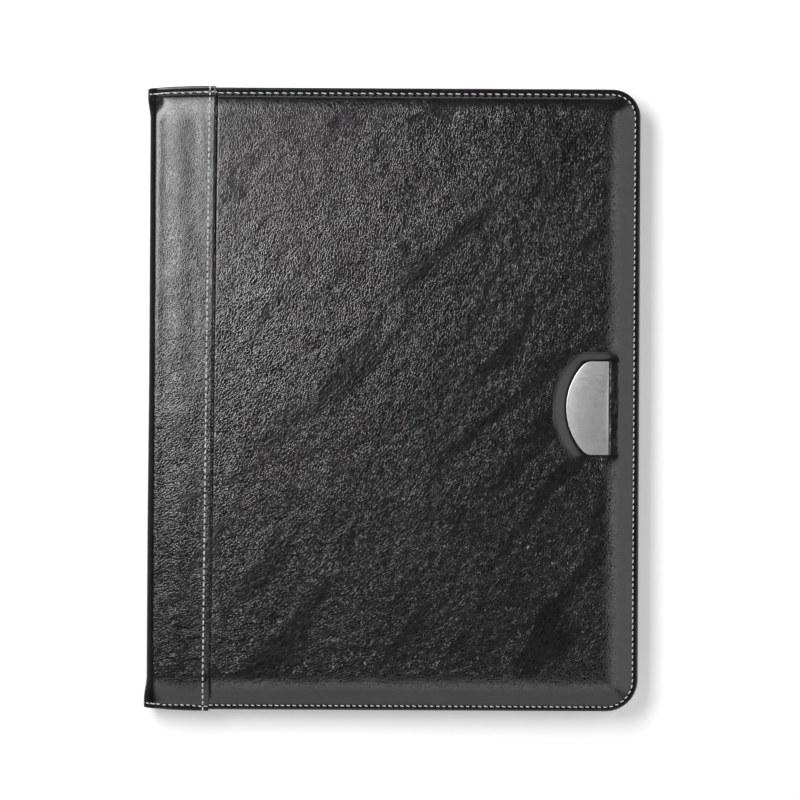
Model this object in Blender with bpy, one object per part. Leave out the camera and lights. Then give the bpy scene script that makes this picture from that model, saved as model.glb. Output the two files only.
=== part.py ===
"""A closed padfolio: two padded covers joined by a soft spine, with a writing pad inside.

The frame is in metres with +Z up. The back cover lies on the plane z = 0, the spine is at -X,
the head of the pad is at +Y, and the origin is under the middle of the closed padfolio.
"""

import math

import bmesh
import bpy
from mathutils import Vector

# Every length below is written in millimetres and multiplied by MM.
MM = 0.001

# A letter-size writing pad, and the room that the covers leave round it
SHEET_WIDTH = 215.9 * MM
SHEET_HEIGHT = 279.4 * MM
SPINE_TO_PAD = 25.9 * MM
PAD_FROM_EDGE = 9.0 * MM
PAD_FROM_ENDS = 19.3 * MM

# The covers' round corners
CORNER_HEAD = 14.3 * MM
CORNER_FOOT = 16.5 * MM

# The gap left between two pieces that lie on each other
GAP = 0.3 * MM

# Sheet and board thicknesses
LEATHER = 0.8 * MM
LINING = 0.6 * MM
BOARD = 2.0 * MM
FRONT_FOAM = 3.0 * MM
BACK_FOAM = 2.4 * MM
SPINE_BOARD = 1.5 * MM
SPINE_LINING = 0.5 * MM

# The padded covers' edges, as distances in from the outside edge
TURN_IN = 6.0 * MM
HEM = 3.5 * MM
SLOPE = 9.5 * MM
STITCH_IN = 2.0 * MM
BOARD_IN = 7.0 * MM
LINING_IN = 1.2 * MM

# The lap seam between the spine leather and each cover's leather
SEAM_FROM_SPINE = 30.5 * MM
FOLD_PAST_SEAM = 3.0 * MM
FLANGE_UNDER_SEAM = 4.0 * MM
LAP_STEP = 1.2 * MM
SEAM_DROP = 2.0 * MM
SEAM_SLOPE = 6.0 * MM

# The two creases that the spine turns on
CREASE_RADIUS = 3.5 * MM
CREASE_STEPS = 8
# How far the rolled edge runs on under the cover's leather, in degrees past its top
ROLL_PAST = 30.0

# Sewing thread
THREAD_RADIUS = 0.25 * MM

# The D-shaped metal plate and the recess that it sits in
PLATE_WIDTH = 21.4 * MM
PLATE_HEIGHT = 47.6 * MM
PLATE_ARC = 33.0 * MM
PLATE_THICK = 1.0 * MM
PLATE_FROM_EDGE = 16.1 * MM
PLATE_BELOW_MIDDLE = 3.9 * MM
PLATE_EDGE = 0.2 * MM
ADHESIVE = 0.2 * MM
ADHESIVE_IN = 2.0 * MM
RECESS_DEPTH = 2.0 * MM
RECESS_BORDER = 3.0 * MM

# The writing pad's layers
PAD_SHEETS = 3.0 * MM
PAD_CARD = 0.8 * MM
BINDING = 0.3 * MM
BINDING_FLANGE = 18.0 * MM
BINDING_ARM = 8.0 * MM

# The holder that the pad's card slides into
HOLDER = 0.7 * MM
HOLDER_HEIGHT = 120.0 * MM
HOLDER_RIM = 3.0 * MM
HOLDER_CORNER = 6.0 * MM

# Pockets on the inside of the front cover
COVER_CLEARANCE = 0.4 * MM
POCKET = 0.6 * MM
POCKET_HEIGHT = 205.0 * MM
POCKET_SLANT = 30.0 * MM
POCKET_FROM_EDGE = 8.0 * MM
POCKET_CORNER = 10.0 * MM
CARD_POCKET = 0.5 * MM
CARD_POCKET_WIDTH = 96.0 * MM
CARD_POCKET_HEIGHT = 56.0 * MM
CARD_POCKET_SPACE = 12.0 * MM
CARD_POCKET_CORNER = 4.0 * MM
WINDOW_BORDER = 8.0 * MM
WINDOW_FILM = 0.3 * MM
THUMB_NOTCH = 9.0 * MM

# The elastic pen loop in the gutter beside the pad
LOOP_WIDTH = 16.0 * MM
LOOP_LENGTH = 25.0 * MM
LOOP_WALL = 0.8 * MM
LOOP_FROM_PAD = 2.0 * MM
LOOP_ABOVE_MIDDLE = 40.0 * MM

# How finely arcs are drawn
CORNER_STEPS = 6
EDGE_STEPS = 4
SLOPE_STEPS = 4
PLATE_STEPS = 14
LOOP_STEPS = 8
# Edges that turn by more than this, in degrees, are shaded sharp
SHARP_FROM = 35.0

# Worked out from the sizes above
THREAD_PROUD = GAP + 2 * THREAD_RADIUS
WIDTH = THREAD_PROUD + SPINE_TO_PAD + SHEET_WIDTH + PAD_FROM_EDGE
HEIGHT = SHEET_HEIGHT + 2 * PAD_FROM_ENDS
RIGHT = WIDTH / 2
LEFT = -WIDTH / 2 + THREAD_PROUD
HEAD = HEIGHT / 2
FOOT = -HEIGHT / 2
HEM_THICK = LINING + GAP + LEATHER + GAP + LEATHER
FRONT_THICK = LINING + GAP + BOARD + GAP + FRONT_FOAM + GAP + LEATHER
BACK_THICK = LINING + GAP + BOARD + GAP + BACK_FOAM + GAP + LEATHER

CARD_Z = BACK_THICK + GAP
HOLDER_Z = CARD_Z + PAD_CARD + GAP
SHEETS_Z = HOLDER_Z + HOLDER + GAP
FLANGE_Z = SHEETS_Z + PAD_SHEETS + GAP
CARD_POCKET_Z = FLANGE_Z + BINDING + COVER_CLEARANCE
POCKET_Z = CARD_POCKET_Z + CARD_POCKET + GAP
FRONT_Z = POCKET_Z + POCKET + GAP
TOTAL_THICK = FRONT_Z + FRONT_THICK

CREASE_X = LEFT + CREASE_RADIUS
LOWER_CREASE_Z = SEAM_DROP + CREASE_RADIUS
UPPER_CREASE_Z = TOTAL_THICK - SEAM_DROP - CREASE_RADIUS
COVER_X = CREASE_X + CREASE_RADIUS + GAP
SEAM_X = LEFT + SEAM_FROM_SPINE
FOLD_X = SEAM_X + FOLD_PAST_SEAM
FLANGE_X = SEAM_X - FLANGE_UNDER_SEAM

PAD_RIGHT = RIGHT - PAD_FROM_EDGE
PAD_LEFT = PAD_RIGHT - SHEET_WIDTH
PAD_HEAD = SHEET_HEIGHT / 2
PAD_FOOT = -SHEET_HEIGHT / 2
PLATE_X = RIGHT - PLATE_FROM_EDGE
PLATE_Y = -PLATE_BELOW_MIDDLE

# A cutter reaches this far past what it cuts.
PAST = 20.0 * MM


def clear_scene():
    for old in list(bpy.data.objects):
        bpy.data.objects.remove(old, do_unlink=True)


def make_material(name, color, roughness, metallic=0.0, alpha=1.0):
    material = bpy.data.materials.new(name)
    material.use_nodes = True
    shader = material.node_tree.nodes["Principled BSDF"]
    shader.inputs["Base Color"].default_value = (*color, 1.0)
    shader.inputs["Roughness"].default_value = roughness
    shader.inputs["Metallic"].default_value = metallic
    shader.inputs["Alpha"].default_value = alpha
    material.diffuse_color = (*color, alpha)
    return material


def make_object(name, mesh, material, parent):
    """Links a mesh as an object whose origin is the empty that carries it."""
    mesh.shade_smooth()
    mesh.set_sharp_from_angle(angle=math.radians(SHARP_FROM))
    obj = bpy.data.objects.new(name, mesh)
    bpy.context.scene.collection.objects.link(obj)
    if material is not None:
        mesh.materials.append(material)
    if parent is not None:
        mesh.transform(parent.matrix_world.inverted())
        obj.parent = parent
    return obj


def make_pivot(name, location, parent=None):
    """An empty on a joint's axis, placed in world coordinates."""
    pivot = bpy.data.objects.new(name, None)
    bpy.context.scene.collection.objects.link(pivot)
    pivot.empty_display_size = 10 * MM
    pivot.location = location
    if parent is not None:
        pivot.parent = parent
        pivot.location = Vector(location) - parent.matrix_world.translation
    bpy.context.view_layer.update()
    return pivot


def mesh_from(name, bm):
    bmesh.ops.recalc_face_normals(bm, faces=bm.faces)
    if bm.calc_volume(signed=True) < 0:
        bmesh.ops.reverse_faces(bm, faces=bm.faces)
    mesh = bpy.data.meshes.new(name)
    bm.to_mesh(mesh)
    bm.free()
    return mesh


def loft_mesh(name, loops, ring=False):
    """A closed solid through loops of equally many points, capped at both ends or joined in a ring."""
    bm = bmesh.new()
    rows = [[bm.verts.new(point) for point in loop] for loop in loops]
    count = len(rows[0])
    following = rows[1:] + rows[:1] if ring else rows[1:]
    for lower, upper in zip(rows, following):
        for i in range(count):
            j = (i + 1) % count
            bm.faces.new((lower[i], lower[j], upper[j], upper[i]))
    if not ring:
        bm.faces.new(reversed(rows[0]))
        bm.faces.new(rows[-1])
    return mesh_from(name, bm)


def prism_up(name, outline, low, high):
    """An outline in X and Y, extruded from z = low to z = high."""
    return loft_mesh(name, [[(x, y, z) for x, y in outline] for z in (low, high)])


def prism_along_y(name, outline, low, high):
    """An outline in X and Z, extruded from y = low to y = high."""
    return loft_mesh(name, [[(x, y, z) for x, z in outline] for y in (low, high)])


def prism_along_x(name, outline, low, high):
    """An outline in Y and Z, extruded from x = low to x = high."""
    return loft_mesh(name, [[(x, y, z) for y, z in outline] for x in (low, high)])


def box_mesh(name, low, high):
    outline = [(low[0], low[1]), (high[0], low[1]), (high[0], high[1]), (low[0], high[1])]
    return prism_up(name, outline, low[2], high[2])


def arc(center, radius, start, end, steps):
    """Points on an arc from start to end, in degrees."""
    angles = [math.radians(start + (end - start) * i / steps) for i in range(steps + 1)]
    return [(center[0] + radius * math.cos(a), center[1] + radius * math.sin(a)) for a in angles]


def rounded_outline(low, high, foot_radius, head_radius, steps=CORNER_STEPS):
    """A rectangle with square corners at -X and round corners at +X."""
    outline = [(low[0], low[1])]
    foot_center = (high[0] - foot_radius, low[1] + foot_radius)
    head_center = (high[0] - head_radius, high[1] - head_radius)
    outline += arc(foot_center, foot_radius, -90, 0, steps)
    outline += arc(head_center, head_radius, 0, 90, steps)
    outline.append((low[0], high[1]))
    return outline


def round_rectangle(low, high, radius, steps=CORNER_STEPS):
    """A rectangle with all four corners round."""
    outline = []
    for x, y, start in (
        (high[0] - radius, low[1] + radius, -90),
        (high[0] - radius, high[1] - radius, 0),
        (low[0] + radius, high[1] - radius, 90),
        (low[0] + radius, low[1] + radius, 180),
    ):
        outline += arc((x, y), radius, start, start + 90, steps)
    return outline


def cover_outline(inset, left):
    """The cover's outline drawn in by inset on its three free sides."""
    low = (left, FOOT + inset)
    high = (RIGHT - inset, HEAD - inset)
    return rounded_outline(low, high, CORNER_FOOT - inset, CORNER_HEAD - inset)


def smooth(value):
    value = min(max(value, 0.0), 1.0)
    return value * value * (3.0 - 2.0 * value)


def edge_rise(inset):
    """How much of the padding's rise is reached at this distance from the free edge."""
    return smooth((inset - HEM) / SLOPE)


def seam_sink(x):
    """1 over the spine side of the fold, falling to 0 where the padding is full."""
    return 1.0 - smooth((x - FOLD_X) / SEAM_SLOPE)


def inset_of(point):
    """The distance from a point to the nearest straight free edge."""
    return min(RIGHT - point.x, HEAD - point.y, point.y - FOOT)


def slope_insets(first):
    last = HEM + SLOPE
    return [first + (last - first) * i / SLOPE_STEPS for i in range(SLOPE_STEPS + 1)]


def to_front(z):
    """Height in the front cover from the height above its lining."""
    return FRONT_Z + z


def to_back(z):
    """Height in the back cover, which is the front's mirror image."""
    return BACK_THICK - z


def skin_loops(thick):
    """The leather's two surfaces, from its turned-in end round the edge to the flat, and back."""
    middle = HEM_THICK - LEATHER - GAP / 2
    outer_radius = LEATHER + GAP / 2
    inner_radius = GAP / 2
    turned = [(TURN_IN, middle - outer_radius)]
    turned += [
        (outer_radius + x, middle + z)
        for x, z in arc((0, 0), outer_radius, 270, 90, EDGE_STEPS)
    ]
    slopes = [(i, HEM_THICK + (thick - HEM_THICK) * edge_rise(i)) for i in slope_insets(HEM)]
    inside = [(i, z - LEATHER) for i, z in reversed(slopes)]
    inside += [
        (outer_radius + x, middle + z)
        for x, z in arc((0, 0), inner_radius, 90, 270, EDGE_STEPS)
    ]
    inside.append((TURN_IN, middle - inner_radius))
    return turned + slopes, inside


def skin_bmesh(thick):
    """A cover's whole leather, past both the seam and the crease, with z measured from the lining."""
    outer, inner = skin_loops(thick)
    bm = bmesh.new()
    rings = []
    for inset, z in outer + inner:
        outline = cover_outline(inset, LEFT - PAST + inset)
        rings.append([bm.verts.new((x, y, z)) for x, y in outline])
    count = len(rings[0])
    for first, second in zip(rings, rings[1:] + rings[:1]):
        if first is rings[len(outer) - 1]:
            continue
        for i in range(count):
            j = (i + 1) % count
            bm.faces.new((first[i], first[j], second[j], second[i]))
    bm.faces.new(rings[len(outer) - 1])
    bm.faces.new(rings[len(outer)])
    return bm


def add_cross_lines(bm, places):
    """Splits the faces along planes of constant x."""
    for x in places:
        geometry = bm.verts[:] + bm.edges[:] + bm.faces[:]
        bmesh.ops.bisect_plane(bm, geom=geometry, plane_co=(x, 0, 0), plane_no=(1, 0, 0))


def seam_slope_lines():
    return [FOLD_X + SEAM_SLOPE * i / SLOPE_STEPS for i in range(SLOPE_STEPS + 1)]


def sink_to_seam(bm, thick, lowest):
    """Keeps the padding and its leather under a ceiling that comes down towards the seam."""
    for vert in bm.verts:
        if vert.co.z > lowest:
            surface = HEM_THICK + (thick - HEM_THICK) * edge_rise(inset_of(vert.co))
            ceiling = thick - SEAM_DROP * seam_sink(vert.co.x)
            vert.co.z -= max(surface - ceiling, 0.0)


def step_over_flange(bm, lowest):
    """Lifts the spine leather over the edge of the panel that it is sewn to."""
    for vert in bm.verts:
        if vert.co.z > lowest and vert.co.x > FLANGE_X - GAP - LAP_STEP / 2:
            vert.co.z += (LEATHER + GAP) * smooth((inset_of(vert.co) - HEM) / (TURN_IN - HEM))


def place_cover(bm, to_height):
    for vert in bm.verts:
        vert.co.z = to_height(vert.co.z)


def cutter(name, mesh):
    obj = make_object(name, mesh, None, None)
    obj.hide_render = True
    obj.display_type = "WIRE"
    return obj


def cut(obj, *tools, operation="DIFFERENCE"):
    for tool in tools:
        modifier = obj.modifiers.new(tool.name, "BOOLEAN")
        modifier.operation = operation
        modifier.solver = "EXACT"
        modifier.object = tool


def box_cutter(name, low, high):
    return cutter(name, box_mesh(name, low, high))


def crease_cutter(name, crease_z):
    """Clears a cover of the spine's turning edge: a cylinder and what lies behind it."""
    radius = CREASE_RADIUS + GAP
    low = crease_z - radius
    high = crease_z + radius
    outline = [(LEFT - 2 * PAST, low), (CREASE_X, low)]
    outline += arc((CREASE_X, crease_z), radius, -90, 90, 3 * CREASE_STEPS)[1:-1]
    outline += [(CREASE_X, high), (LEFT - 2 * PAST, high)]
    return cutter(name, prism_along_y(name, outline, FOOT - PAST, HEAD + PAST))


def plate_outline(border):
    """The plate's D shape, grown by border: an arc at -X and straight sides elsewhere."""
    half = PLATE_HEIGHT / 2 + border
    center_x = PLATE_X - PLATE_WIDTH + PLATE_ARC
    reach = math.degrees(math.asin(half / (PLATE_ARC + border)))
    outline = [(PLATE_X + border, PLATE_Y - half), (PLATE_X + border, PLATE_Y + half)]
    outline += arc((center_x, PLATE_Y), PLATE_ARC + border, 180 - reach, 180 + reach, PLATE_STEPS)
    return outline


def make_skins(side, thick, to_height, crease_z, leather, parent):
    """A cover's leather panel and the part of the spine leather that is sewn over its edge."""
    low = (LEFT - 2 * PAST, FOOT - PAST, -PAST)
    high_z = TOTAL_THICK + PAST

    panel = skin_bmesh(thick)
    add_cross_lines(panel, seam_slope_lines())
    sink_to_seam(panel, thick, HEM_THICK - LEATHER - GAP / 2)
    place_cover(panel, to_height)
    name = f"{side}_leather"
    panel_object = make_object(name, mesh_from(name, panel), leather, parent)
    flange = box_cutter(f"cut_{side}_flange", low, (FLANGE_X, HEAD + PAST, high_z))
    foot_end = box_cutter(
        f"cut_{side}_foot_end", low, (FOLD_X + GAP, FOOT + TURN_IN, high_z)
    )
    head_end = box_cutter(
        f"cut_{side}_head_end",
        (low[0], HEAD - TURN_IN, low[2]),
        (FOLD_X + GAP, HEAD + PAST, high_z),
    )
    cut(panel_object, flange, foot_end, head_end)

    strip = skin_bmesh(thick)
    step_x = FLANGE_X - GAP
    add_cross_lines(strip, [step_x - LAP_STEP, step_x] + seam_slope_lines())
    sink_to_seam(strip, thick, HEM_THICK - LEATHER - GAP / 2)
    step_over_flange(strip, HEM_THICK - LEATHER - GAP / 2)
    place_cover(strip, to_height)
    name = f"{side}_spine_leather"
    strip_object = make_object(name, mesh_from(name, strip), leather, parent)
    fold = box_cutter(
        f"cut_{side}_fold",
        (FOLD_X, FOOT - PAST, -PAST),
        (RIGHT + PAST, HEAD + PAST, high_z),
    )
    cut(strip_object, fold, crease_cutter(f"cut_{side}_crease", crease_z))
    return panel_object


def make_foam(side, thick, to_height, material, parent):
    """The padding: flat on the board, its top drawn in and down towards the free edges and the seam."""
    base = LINING + GAP + BOARD + GAP
    insets = [inset for inset in slope_insets(HEM) if inset > BOARD_IN]
    loops = [[(x, y, base) for x, y in cover_outline(insets[0], COVER_X)]]
    for inset in insets:
        top = HEM_THICK + (thick - HEM_THICK) * edge_rise(inset) - LEATHER - GAP
        skived = COVER_X + (inset - insets[0]) / 2
        loops.append([(x, y, top) for x, y in cover_outline(inset, skived)])
    name = f"{side}_foam"
    bm = bmesh.new()
    bm.from_mesh(loft_mesh(name, loops))
    add_cross_lines(bm, seam_slope_lines())
    sink_to_seam(bm, thick, base + GAP / 2)
    place_cover(bm, to_height)
    return make_object(name, mesh_from(name, bm), material, parent)


def make_flat_layer(name, inset, low, high, to_height, material, parent):
    outline = cover_outline(inset, COVER_X)
    mesh = prism_up(name, outline, *sorted((to_height(low), to_height(high))))
    return make_object(name, mesh, material, parent)


def make_thread(name, points, material, parent):
    """Sewing thread as a fine unbroken tube along its stitch line."""
    curve = bpy.data.curves.new(name, "CURVE")
    curve.dimensions = "3D"
    curve.bevel_depth = THREAD_RADIUS
    curve.bevel_resolution = 0
    curve.use_fill_caps = True
    spline = curve.splines.new("POLY")
    spline.points.add(len(points) - 1)
    origin = parent.matrix_world.translation
    for target, point in zip(spline.points, points):
        target.co = (*(Vector(point) - origin), 1.0)
    curve.materials.append(material)
    obj = bpy.data.objects.new(name, curve)
    obj.parent = parent
    bpy.context.scene.collection.objects.link(obj)
    return obj


def make_cover_threads(side, to_height, material, parent):
    """The row round the three free sides, and the row down the seam."""
    above = GAP + THREAD_RADIUS
    edge_z = to_height(HEM_THICK + above)
    path = cover_outline(STITCH_IN, COVER_X)
    row = [(x, y, edge_z) for x, y in path]
    make_thread(f"{side}_edge_thread", row, material, parent)
    thick = FRONT_THICK if side == "front" else BACK_THICK
    seam_z = to_height(thick - SEAM_DROP + LEATHER + GAP + above)
    end = HEM + SLOPE
    ends = [(SEAM_X, FOOT + end, seam_z), (SEAM_X, HEAD - end, seam_z)]
    make_thread(f"{side}_seam_thread", ends, material, parent)


def make_cover(side, thick, to_height, crease_z, looks, parent):
    """One padded cover without its fittings."""
    board_z = LINING + GAP
    panel = make_skins(side, thick, to_height, crease_z, looks["leather"], parent)
    foam = make_foam(side, thick, to_height, looks["foam"], parent)
    make_flat_layer(
        f"{side}_board", BOARD_IN, board_z, board_z + BOARD, to_height, looks["board"], parent
    )
    make_flat_layer(
        f"{side}_lining", LINING_IN, 0.0, LINING, to_height, looks["lining"], parent
    )
    make_cover_threads(side, to_height, looks["thread"], parent)
    return panel, foam


def make_plate(panel, foam, looks, parent):
    """The metal plate, its adhesive, and the recess pressed into the leather and the foam."""
    floor = TOTAL_THICK - RECESS_DEPTH
    top = TOTAL_THICK + PAST
    dish_mesh = prism_up(
        "add_recess_dish",
        plate_outline(RECESS_BORDER + LEATHER),
        floor - LEATHER,
        TOTAL_THICK - LEATHER / 2,
    )
    dish = cutter("add_recess_dish", dish_mesh)
    hollow_mesh = prism_up("cut_recess", plate_outline(RECESS_BORDER), floor, top)
    hollow = cutter("cut_recess", hollow_mesh)
    cut(panel, dish, operation="UNION")
    cut(panel, hollow)
    room_mesh = prism_up(
        "cut_foam_for_recess",
        plate_outline(RECESS_BORDER + LEATHER + GAP),
        floor - LEATHER - GAP,
        top,
    )
    cut(foam, cutter("cut_foam_for_recess", room_mesh))

    adhesive_z = floor + GAP
    adhesive = prism_up(
        "plate_adhesive", plate_outline(-ADHESIVE_IN), adhesive_z, adhesive_z + ADHESIVE
    )
    make_object("plate_adhesive", adhesive, looks["adhesive"], parent)
    plate_z = adhesive_z + ADHESIVE + GAP
    plate = prism_up("accent_plate", plate_outline(0.0), plate_z, plate_z + PLATE_THICK)
    obj = make_object("accent_plate", plate, looks["steel"], parent)
    bevel = obj.modifiers.new("edge", "BEVEL")
    bevel.width = PLATE_EDGE
    bevel.segments = 1


def make_spine(looks, parent):
    """The spine: a leather wall rolled in at both creases, a stiffener and a lining."""
    inside = CREASE_RADIUS - LEATHER
    lower = (CREASE_X, LOWER_CREASE_Z)
    upper = (CREASE_X, UPPER_CREASE_Z)
    wall = arc(lower, CREASE_RADIUS, 270 + ROLL_PAST, 180, CREASE_STEPS)
    wall += arc(upper, CREASE_RADIUS, 180, 90 - ROLL_PAST, CREASE_STEPS)
    wall += arc(upper, inside, 90 - ROLL_PAST, 180, CREASE_STEPS)
    wall += arc(lower, inside, 180, 270 + ROLL_PAST, CREASE_STEPS)
    leather = prism_along_y("spine_leather", wall, FOOT, HEAD)
    make_object("spine_leather", leather, looks["leather"], parent)

    board_x = LEFT + LEATHER + GAP
    low_z = LOWER_CREASE_Z + GAP
    high_z = UPPER_CREASE_Z - GAP
    board = box_mesh(
        "spine_board",
        (board_x, FOOT + BOARD_IN, low_z),
        (board_x + SPINE_BOARD, HEAD - BOARD_IN, high_z),
    )
    make_object("spine_board", board, looks["board"], parent)
    lining_x = board_x + SPINE_BOARD + GAP
    lining = box_mesh(
        "spine_lining",
        (lining_x, FOOT + LINING_IN, low_z),
        (lining_x + SPINE_LINING, HEAD - LINING_IN, high_z),
    )
    make_object("spine_lining", lining, looks["lining"], parent)

    thread_x = LEFT - GAP - THREAD_RADIUS
    for end, y in (("head", HEAD - STITCH_IN), ("foot", FOOT + STITCH_IN)):
        points = [(thread_x, y, low_z), (thread_x, y, high_z)]
        make_thread(f"spine_{end}_thread", points, looks["thread"], parent)


def make_pad_holder(looks, parent):
    """A panel sewn to the back lining on three sides, open towards the head, for the pad's card."""
    low_y = PAD_FOOT - GAP - HOLDER_RIM
    low = (PAD_LEFT - GAP - HOLDER_RIM, low_y)
    high = (PAD_RIGHT + GAP + HOLDER_RIM, low_y + HOLDER_HEIGHT)
    outline = [(low[0], high[1])]
    outline += arc((low[0] + HOLDER_CORNER, low[1] + HOLDER_CORNER), HOLDER_CORNER, 180, 270, 3)
    outline += arc((high[0] - HOLDER_CORNER, low[1] + HOLDER_CORNER), HOLDER_CORNER, 270, 360, 3)
    outline.append((high[0], high[1]))
    mesh = prism_up("pad_holder", outline, CARD_Z, HOLDER_Z + HOLDER)
    holder = make_object("pad_holder", mesh, looks["lining"], parent)
    slot = box_cutter(
        "cut_holder_slot",
        (PAD_LEFT - GAP, PAD_FOOT - GAP, CARD_Z - PAST),
        (PAD_RIGHT + GAP, high[1] + PAST, HOLDER_Z),
    )
    cut(holder, slot)


def make_writing_pad(looks, parent):
    """A card, a block of sheets and the tape that binds them at the head."""
    card = box_mesh(
        "pad_card", (PAD_LEFT, PAD_FOOT, CARD_Z), (PAD_RIGHT, PAD_HEAD, CARD_Z + PAD_CARD)
    )
    make_object("pad_card", card, looks["card"], parent)
    sheets = box_mesh(
        "pad_sheets", (PAD_LEFT, PAD_FOOT, SHEETS_Z), (PAD_RIGHT, PAD_HEAD, SHEETS_Z + PAD_SHEETS)
    )
    make_object("pad_sheets", sheets, looks["paper"], parent)
    face = PAD_HEAD + GAP
    top = FLANGE_Z + BINDING
    section = [
        (PAD_HEAD - BINDING_FLANGE, FLANGE_Z),
        (face, FLANGE_Z),
        (face, HOLDER_Z + HOLDER),
        (PAD_HEAD - BINDING_ARM, HOLDER_Z + HOLDER),
        (PAD_HEAD - BINDING_ARM, HOLDER_Z),
        (face, HOLDER_Z),
        (face, CARD_Z),
        (face + BINDING, CARD_Z),
        (face + BINDING, top),
        (PAD_HEAD - BINDING_FLANGE, top),
    ]
    binding = prism_along_x("pad_binding", section, PAD_LEFT, PAD_RIGHT)
    make_object("pad_binding", binding, looks["tape"], parent)


def make_document_pocket(looks, parent):
    """A wide pocket on the front lining, its mouth slanting down towards the free edge."""
    low = (PAD_LEFT, FOOT + POCKET_FROM_EDGE)
    right = RIGHT - POCKET_FROM_EDGE
    mouth = low[1] + POCKET_HEIGHT
    corner = (right - POCKET_CORNER, low[1] + POCKET_CORNER)
    outline = [low]
    outline += arc(corner, POCKET_CORNER, -90, 0, CORNER_STEPS)
    outline += [(right, mouth - POCKET_SLANT), (low[0], mouth)]
    mesh = prism_up("document_pocket", outline, POCKET_Z, POCKET_Z + POCKET)
    make_object("document_pocket", mesh, looks["lining"], parent)


def card_pocket_place(column, row):
    """The lower left corner of a card pocket, counted from the free edge and the foot."""
    step_x = CARD_POCKET_WIDTH + CARD_POCKET_SPACE / 2
    step_y = CARD_POCKET_HEIGHT + CARD_POCKET_SPACE
    right = RIGHT - POCKET_FROM_EDGE - CARD_POCKET_SPACE / 2
    x = right - CARD_POCKET_WIDTH - column * step_x
    y = FOOT + POCKET_FROM_EDGE + CARD_POCKET_SPACE + row * step_y
    return x, y


def card_pocket_mesh(name, column, row):
    """A patch pocket with a round thumb notch in its mouth."""
    x, y = card_pocket_place(column, row)
    top = y + CARD_POCKET_HEIGHT
    middle = x + CARD_POCKET_WIDTH / 2
    outline = arc((x + CARD_POCKET_CORNER, y + CARD_POCKET_CORNER), CARD_POCKET_CORNER, 180, 270, 3)
    right = x + CARD_POCKET_WIDTH - CARD_POCKET_CORNER
    outline += arc((right, y + CARD_POCKET_CORNER), CARD_POCKET_CORNER, 270, 360, 3)
    outline.append((x + CARD_POCKET_WIDTH, top))
    outline += arc((middle, top), THUMB_NOTCH, 0, -180, 2 * CORNER_STEPS)
    outline.append((x, top))
    return prism_up(name, outline, CARD_POCKET_Z, CARD_POCKET_Z + CARD_POCKET)


def make_card_pockets(looks, parent):
    for name, column, row in (
        ("card_pocket_lower", 0, 0),
        ("card_pocket_upper", 0, 1),
        ("card_pocket_inner", 1, 0),
    ):
        make_object(name, card_pocket_mesh(name, column, row), looks["lining"], parent)


def make_id_window(looks, parent):
    """A framed pocket with a clear film in its window."""
    x, y = card_pocket_place(1, 1)
    high = (x + CARD_POCKET_WIDTH, y + CARD_POCKET_HEIGHT)
    outline = round_rectangle((x, y), high, CARD_POCKET_CORNER, 3)
    frame_mesh = prism_up("id_window_frame", outline, CARD_POCKET_Z, CARD_POCKET_Z + CARD_POCKET)
    frame = make_object("id_window_frame", frame_mesh, looks["lining"], parent)
    low = (x + WINDOW_BORDER, y + WINDOW_BORDER)
    high = (high[0] - WINDOW_BORDER, high[1] - WINDOW_BORDER)
    hole = box_cutter(
        "cut_window",
        (low[0], low[1], CARD_POCKET_Z - PAST),
        (high[0], high[1], CARD_POCKET_Z + PAST),
    )
    cut(frame, hole)
    film_z = CARD_POCKET_Z + (CARD_POCKET - WINDOW_FILM) / 2
    film = box_mesh(
        "id_window_film",
        (low[0] + GAP, low[1] + GAP, film_z),
        (high[0] - GAP, high[1] - GAP, film_z + WINDOW_FILM),
    )
    make_object("id_window_film", film, looks["film"], parent)


def make_pen_loop(looks, parent):
    """An elastic band sewn to the front lining, closed round a flattened bore along Y."""
    high_z = FRONT_Z - GAP
    low_z = BACK_THICK + COVER_CLEARANCE
    radius = (high_z - low_z) / 2
    middle_z = (high_z + low_z) / 2
    right = PAD_LEFT - LOOP_FROM_PAD
    left = right - LOOP_WIDTH
    low_y = LOOP_ABOVE_MIDDLE - LOOP_LENGTH / 2
    high_y = LOOP_ABOVE_MIDDLE + LOOP_LENGTH / 2

    def band(size):
        outline = arc((right - radius, middle_z), size, -90, 90, LOOP_STEPS)
        return outline + arc((left + radius, middle_z), size, 90, 270, LOOP_STEPS)

    sections = (
        (low_y, band(radius - LOOP_WALL)),
        (low_y, band(radius)),
        (high_y, band(radius)),
        (high_y, band(radius - LOOP_WALL)),
    )
    loops = [[(x, y, z) for x, z in outline] for y, outline in sections]
    mesh = loft_mesh("pen_loop", loops, ring=True)
    make_object("pen_loop", mesh, looks["elastic"], parent)


def make_looks():
    return {
        "leather": make_material("black_leather", (0.020, 0.020, 0.021), 0.40),
        "foam": make_material("grey_foam", (0.20, 0.20, 0.21), 0.95),
        "board": make_material("grey_board", (0.30, 0.27, 0.23), 0.90),
        "lining": make_material("black_lining", (0.016, 0.016, 0.018), 0.75),
        "thread": make_material("grey_thread", (0.62, 0.62, 0.60), 0.80),
        "steel": make_material("satin_steel", (0.70, 0.70, 0.70), 0.35, metallic=1.0),
        "adhesive": make_material("clear_adhesive", (0.75, 0.73, 0.66), 0.60),
        "paper": make_material("white_paper", (0.90, 0.90, 0.88), 0.85),
        "card": make_material("brown_card", (0.42, 0.34, 0.24), 0.90),
        "tape": make_material("black_tape", (0.03, 0.03, 0.035), 0.65),
        "film": make_material("clear_film", (0.80, 0.82, 0.82), 0.15, alpha=0.4),
        "elastic": make_material("black_elastic", (0.018, 0.018, 0.02), 0.85),
    }


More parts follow.
